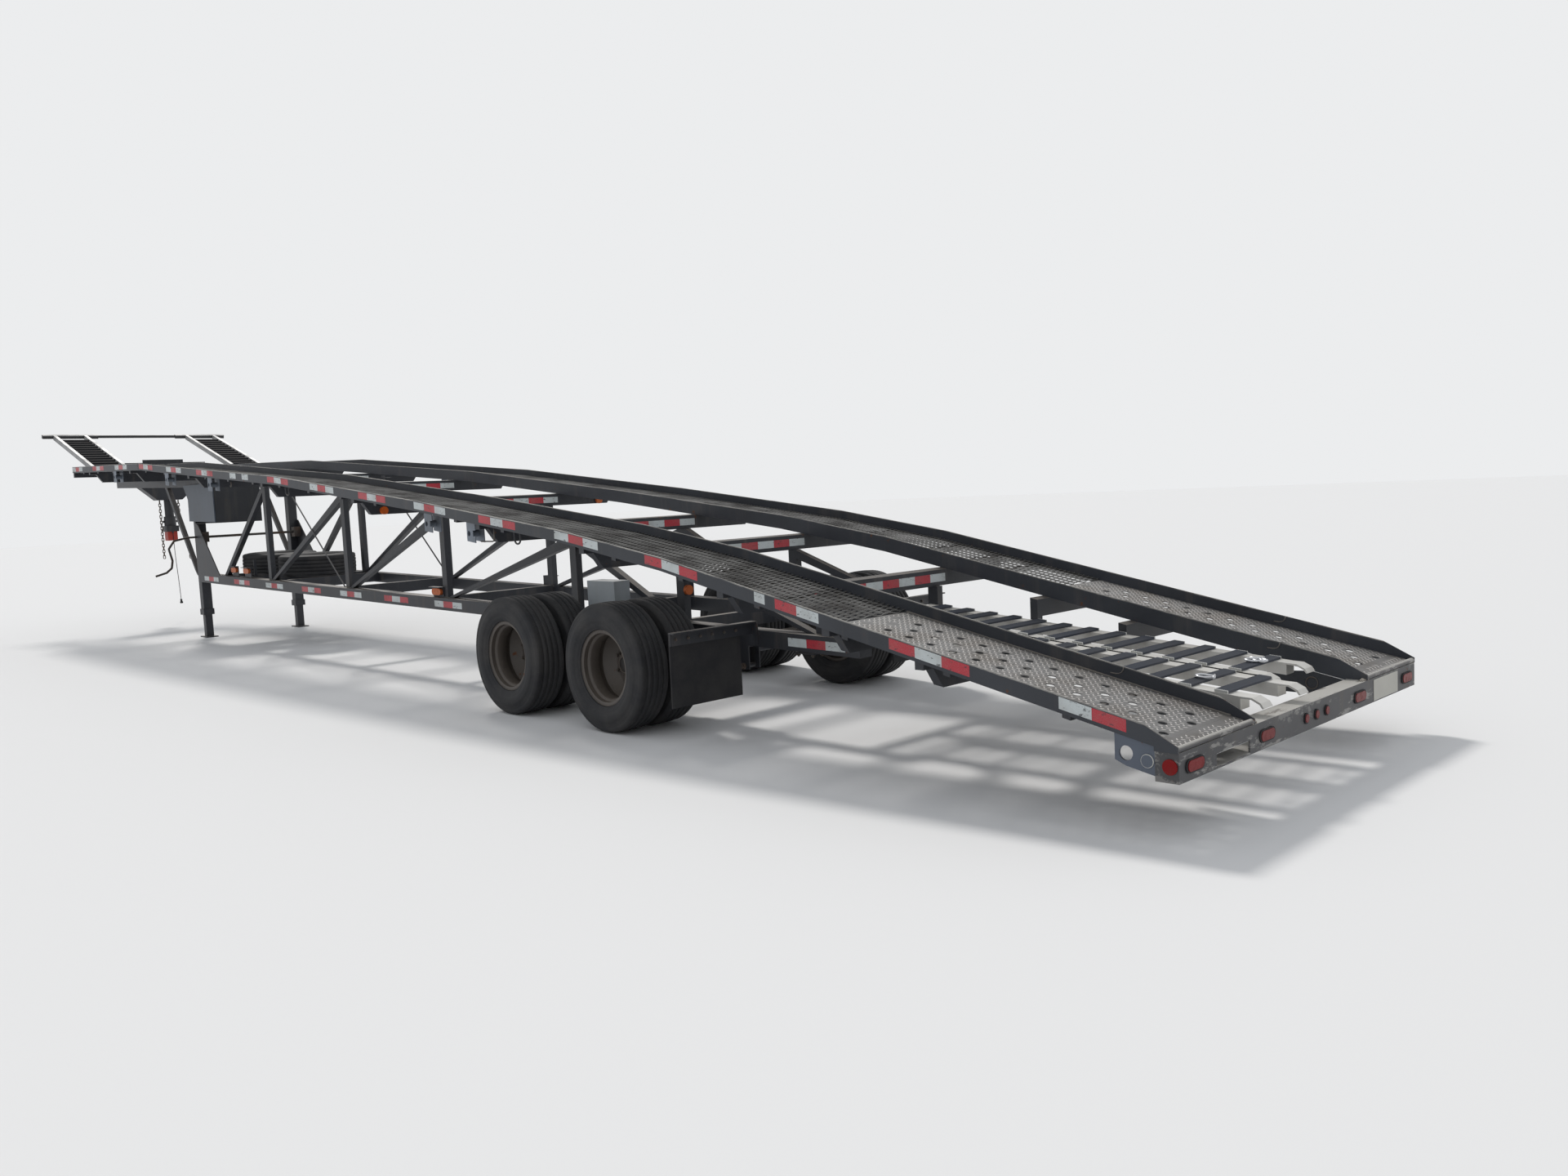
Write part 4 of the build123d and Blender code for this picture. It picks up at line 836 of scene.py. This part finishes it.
post_in, post_out = 0.4935, 0.5445
welds = []
for front in (2.630, 3.890, 5.100, 7.010, 8.900, 10.800):
    corners = [(front - 0.076, post_in), (front, post_in), (front, post_out), (front - 0.076, post_out),
               (front - 0.076, post_in)]
    for side in (1, -1):
        welds.append(bead([(x, side * y, chord_top(x) + 0.001) for x, y in corners]))
plate_line = np.linspace(0.100, mesh_start, 40)
nose_x, nose_z = 14.98, rail_height(14.98)
for side in (1, -1):
    welds.append(bead(xyz(plate_line, side * (deck_inner + 0.0015), rail_height(plate_line) - 0.0650)))
    welds.append(bead([(nose_x, side * 0.640, nose_z - 0.104), (nose_x, side * 1.28, nose_z - 0.080)], 0.004))
hook_x = np.array([0.0, 0.004, 0.016, 0.036, 0.068])
hook_drop = np.array([0.002, 0.018, 0.034, 0.042, 0.045])
for start, y in ((0.600, deck_inner + 0.001), (0.430, -0.6275), (0.680, -1.288)):
    welds.append(bead(xyz(start + hook_x, y, rail_height(start + hook_x) - hook_drop), 0.0028))
piece("weld_beads", *joined(*welds), painted("weld_grey", linear(96, 92, 88), dust=0.5, chips=1.0),
      slot="bare_steel", smooth=True)

blobs = []
for side in (1, -1):
    for y0, y1, size in ((0.604, 0.650, 0.011), (0.585, 0.612, 0.007), (1.262, 1.286, 0.008)):
        way = np.linspace(0, 1, 7)
        path = xyz(0.014 + 0.006 * np.sin(way * 5), side * (y0 + (y1 - y0) * way), 0.3605 + 0.004 * np.sin(way * 9))
        blobs.append(tube(path, size * (0.35 + 0.65 * np.sin(way * 2.9) ** 0.5), 8))
weld_bare = bare_metal("weld_bare", linear(150, 146, 138), 0.7, linear(96, 76, 60), 0.4, 0.55)
piece("bar_end_welds", *joined(*blobs), weld_bare, slot="bare_steel", smooth=True)

# %% [markdown]
# ## Bolts, clamps and small bars
# U-bolts hold the axles to their springs over a clamp plate, nuts close the spring pins, and a row of bolts holds each
# mud flap. A bar with a bend guards the first strap bracket, and a small hook hangs further forward. A bright lip
# rounds the stub on each side plate, and a thin black seam marks each outer rail's joint.

# %% U-bolts, nuts and small bars
clamps, u_bolts = [], []
spring_y, bolt_half, bolt_side = 0.5445, 0.0725, 0.047
arc = np.radians(np.linspace(0, 180, 13))
for x in axles.values():
    for side in (1, -1):
        clamps.append(box_shape((x - 0.095, side * spring_y - 0.062, 0.2560),
                                (x + 0.095, side * spring_y + 0.062, 0.2665)))
        for across in (-bolt_side, bolt_side):
            y = side * spring_y + across
            over = xyz(x + bolt_half * np.cos(arc), y, axle_height + bolt_half * np.sin(arc))
            ends = x + bolt_half, x - bolt_half
            u_bolts.append(tube([(ends[0], y, 0.238), *over, (ends[1], y, 0.238)], 0.008))
            u_bolts.append(nuts([(end, y, 0.2555) for end in ends], (0, 0, -1), 0.016, 0.012))
for x in (3.214, 4.318, 5.422):
    for side in (1, -1):
        for y, way in ((0.5917, side), (0.4973, -side)):
            u_bolts.append(nuts([(x, side * y, 0.3635)], (0, way, 0), 0.021, 0.012))
for side in (1, -1):
    u_bolts.append(nuts([(3.1138, side * y, 0.606) for y in np.linspace(0.74, 1.20, 6)], (-1, 0, 0), 0.0095, 0.007))
bolt_steel = bare_metal("bolt_steel", linear(92, 88, 84), 0.8, linear(84, 64, 48), 0.4, 0.5)
piece("axle_clamps", *joined(*clamps), frame_black)
piece("bolts_and_nuts", *joined(*u_bolts), bolt_steel, slot="bare_steel")

bars = []
for side in (1, -1):
    y, low = side * 1.250, rail_height(5.105) - 0.076 - 0.122
    bars.append(tube([(4.930, y, rail_height(4.930) - 0.076), (4.930, y, low + 0.02), (4.940, y, low + 0.004),
                      (4.956, y, low), (5.104, y, low)], 0.005))
    hang = rail_height(9.674) - 0.0755
    bars.append(tube([(9.674, y, hang), (9.674, y, hang - 0.052), (9.679, y, hang - 0.064), (9.690, y, hang - 0.068),
                      (9.700, y, hang - 0.060)], 0.005))
bars.append(ring(13.094, 0.588, 0.968, 0.026, 0.004, 16))
piece("small_bars", *joined(*bars), bolt_steel, slot="bare_steel", smooth=True)
stub_line = np.array([(-0.004, 0.0252), (-0.004, 0.0275), (0.002, 0.0275), (0.0032, 0.0262), (0.0032, 0.0252)])
rims = [turned(stub_line * (side, 1), (0.130, side * 1.292, 0.316), 32) for side in (1, -1)]
piece("stub_rims", *joined(*rims), bright_cut, slot="bare_steel", smooth=True)
joints = [box_shape((12.319, side * 1.2952 - 0.0003, rail_height(12.32) - 0.074),
                    (12.326, side * 1.2952 + 0.0003, rail_height(12.32))) for side in (1, -1)]
piece("rail_joints", *joined(*joints), soft_rubber, slot="rubber")

# %% [markdown]
# ## Plates under the inner rails
# Ahead of the bumper a plate hangs under each inner rail, with a short closed tube through it. The plate is a ring of
# four-sided faces between the tube's hole and its outline, once for each side and once for each edge.

# %% Inner side plates
plate_hole, hole_radius, plate_faces = (0.270, 0.326), 0.030, (0.6275, 0.6355)
plate_outline = [(0.104, 0.2755), (0.160, 0.2705), (0.440, 0.2705), (0.500, 0.300), (0.500, 0.372), (0.300, 0.385),
                 (0.270, 0.385), (0.104, 0.350)]


def inner_plate(side):
    """The hole's points and the outline's points at the same angles, on both faces of an 8 mm plate"""
    outline = np.array(plate_outline + plate_outline[:1])
    walk = np.linspace(0, 1, 33)[:-1]
    length = walked(outline)
    edge = np.stack([np.interp(walk * length[-1], length, outline[:, k]) for k in range(2)], -1)
    edge[np.argmin(np.linalg.norm(edge[:, None] - outline[None, :-1], axis=2), axis=0)] = outline[:-1]
    angle = np.arctan2(edge[:, 1] - plate_hole[1], edge[:, 0] - plate_hole[0])
    hole = plate_hole + hole_radius * np.stack([np.cos(angle), np.sin(angle)], -1)
    near, far = plate_faces
    loops = (hole, near), (edge, near), (edge, far), (hole, far)
    points = np.concatenate([xyz(loop[:, 0], side * y, loop[:, 1]) for loop, y in loops])
    faces = grid_faces(4, 32, True, True)
    return points, faces if side < 0 else faces[:, ::-1]


lip_y, plug_y = plate_faces[0] - 0.001, sum(plate_faces) / 2
lips = [ring(plate_hole[0], side * lip_y, plate_hole[1], hole_radius, 0.003, 24) for side in (1, -1)]
plugs = [turned([(-0.003, 0.0), (-0.003, 0.0302), (0.003, 0.0302), (0.003, 0.0)],
                (plate_hole[0], side * plug_y, plate_hole[1]), 24, closed=False) for side in (1, -1)]
piece("inner_side_plates", *joined(inner_plate(1), inner_plate(-1)), frame_black)
piece("inner_plate_plugs", *joined(*plugs), frame_black, crisp=True)
piece("inner_plate_lips", *joined(*lips), bolt_steel, slot="bare_steel", smooth=True)

# %% [markdown]
# ## Reflective tape
# Every side rail carries pieces of tape about every 905 mm: three blocks of 152 mm, white between reds or red between
# whites. The beams and the lower chords have the same tape. Each block is a thin sheet just proud of the steel.

# %% Tape finishes
def tape(name, colour):
    """Reflective tape: a faint honeycomb, scratches that show the black paint, and dust"""
    f = Finish(name, Specular_IOR_Level=0.5)
    scratch = f.noise(26.0, 7.0, 0.7, point=f.stretched(1.0, 1.0, 2.4))
    holes = scratch.between(0.60, 0.625)
    cells = f.node("TexVoronoi", {"feature": "DISTANCE_TO_EDGE"}, {"Vector": f.place, "Scale": 160.0})
    dirt = f.noise(7.0, 5.0).between(0.45, 0.75) * 0.35
    base = f.mix(dirt, colour, linear(126, 118, 108))
    base = f.mix((0.06 - cells).between(0.0, 0.05) * 0.25, base, linear(150, 146, 140))
    base = f.mix(holes * 0.85, base, linear(54, 54, 58))
    f.put(Base_Color=base, Roughness=dirt + 0.35)
    return f


tape_white = tape("tape_white", linear(196, 203, 204))
tape_red = tape("tape_red", linear(178, 34, 52))


def block_plate(x0, x1, y, z_of, drop0, drop1, side):
    """Sheet on a side face: a grid of two rows along x, its edges at two drops under the line z_of"""
    x = np.linspace(x0, x1, 5)
    points = np.concatenate([xyz(x, y * side, z_of(x) - drop) for drop in (drop1, drop0)])
    faces = grid_faces(2, 5)
    return points, faces if side < 0 else faces[:, ::-1]


reds, whites = [], []
step, block, torn_off, torn_short = 0.1524, 0.1519, (6, 1), (14, 0)
for i in range(17):
    front = 15.0 - 0.905 * i
    for k in range(3):
        x1 = front - step * k
        if x1 - step < 0.19 or (i, k) == torn_off:
            continue
        red = (k == 1) == (i % 2 == 0)
        left = 0.078 if (i, k) == torn_short else block
        for side in (1, -1):
            (reds if red else whites).append(block_plate(x1 - left, x1, 1.29535, rail_height, 0.008, 0.059, side))
for i, front in enumerate((12.64, 11.69, 10.77, 9.83, 8.93, 8.01, 7.08, 2.815)):
    for k in range(3):
        x1 = front - step * k
        red = (k == 1) == (i % 2 == 0 or i == 7)
        for side in (1, -1):
            (reds if red else whites).append(block_plate(x1 - block, x1, 0.59585, chord_top, 0.026, 0.077, side))
for back in (2.630, 3.890, 5.100, 7.000, 8.850, 10.760):
    x, z = back - 0.050 - 0.0004, float(rail_height(back - 0.050))
    low, high = z - 0.178, z - 0.127
    for k in range(8):
        y0 = -0.61 + step * k
        y1 = y0 + block
        quad = np.array([(x, y0, low), (x, y1, low), (x, y1, high), (x, y0, high)])
        if abs(y0 + 0.076) < 0.54:
            (reds if k % 2 else whites).append((quad, np.array([[3, 2, 1, 0]])))
piece("tape_blocks_red", *joined(*reds), tape_red, slot="red_paint")
piece("tape_blocks_white", *joined(*whites), tape_white, slot="plate_white")

# %% [markdown]
# ## Floor, light and background
# The part is shown on a plain pale floor. A broad lamp stands where the sun stood, ahead and high, and an even sky
# fills the shade. The camera, mirrors and glass see a pale wall, while the steel is lit at a plain level.

# %% Floor and light
world = bpy.data.worlds.new("sky")
bpy.context.scene.world = world
world.use_nodes = True
sky = Web(world.node_tree)
sky.tree.nodes.clear()
seen = sky.node("LightPath", out="Is Camera Ray")
for ray in ("Is Glossy Ray", "Is Transmission Ray"):
    seen = seen.most(sky.node("LightPath", out=ray))
glow = sky.node("Background", values={"Color": (0.93, 0.96, 1.0, 1), "Strength": 0.62})
wall = sky.node("Background", values={"Color": (0.93, 0.94, 0.95, 1), "Strength": 0.9})
blend = sky.node("MixShader", values={0: seen, 1: glow, 2: wall})
sky.tree.links.new(blend.socket, sky.tree.nodes.new("ShaderNodeOutputWorld").inputs[0])

floor_finish = Finish("floor", Roughness=0.9, Specular_IOR_Level=0.1)
floor_finish.surface.inputs["Base Color"].default_value = (0.80, 0.80, 0.80, 1)
extent = np.array([(-80, -80, 0), (80, -80, 0), (80, 80, 0), (-80, 80, 0)], float)
mesh = bpy.data.meshes.new("floor")
mesh.from_pydata(extent, [], [(0, 1, 2, 3)])
mesh.materials.append(floor_finish.material)
floor = show("floor", mesh)

sun = bpy.data.lights.new("sun", "SUN")
sun.energy = 1.9
sun.angle = math.radians(9)
sun.color = (1.0, 0.97, 0.93)
lamp = show("sun", sun)
from_straight_up, bearing = math.radians(46), math.radians(-22)
lamp.rotation_euler = (0, from_straight_up, bearing)
bpy.context.scene.view_settings.view_transform = "Standard"
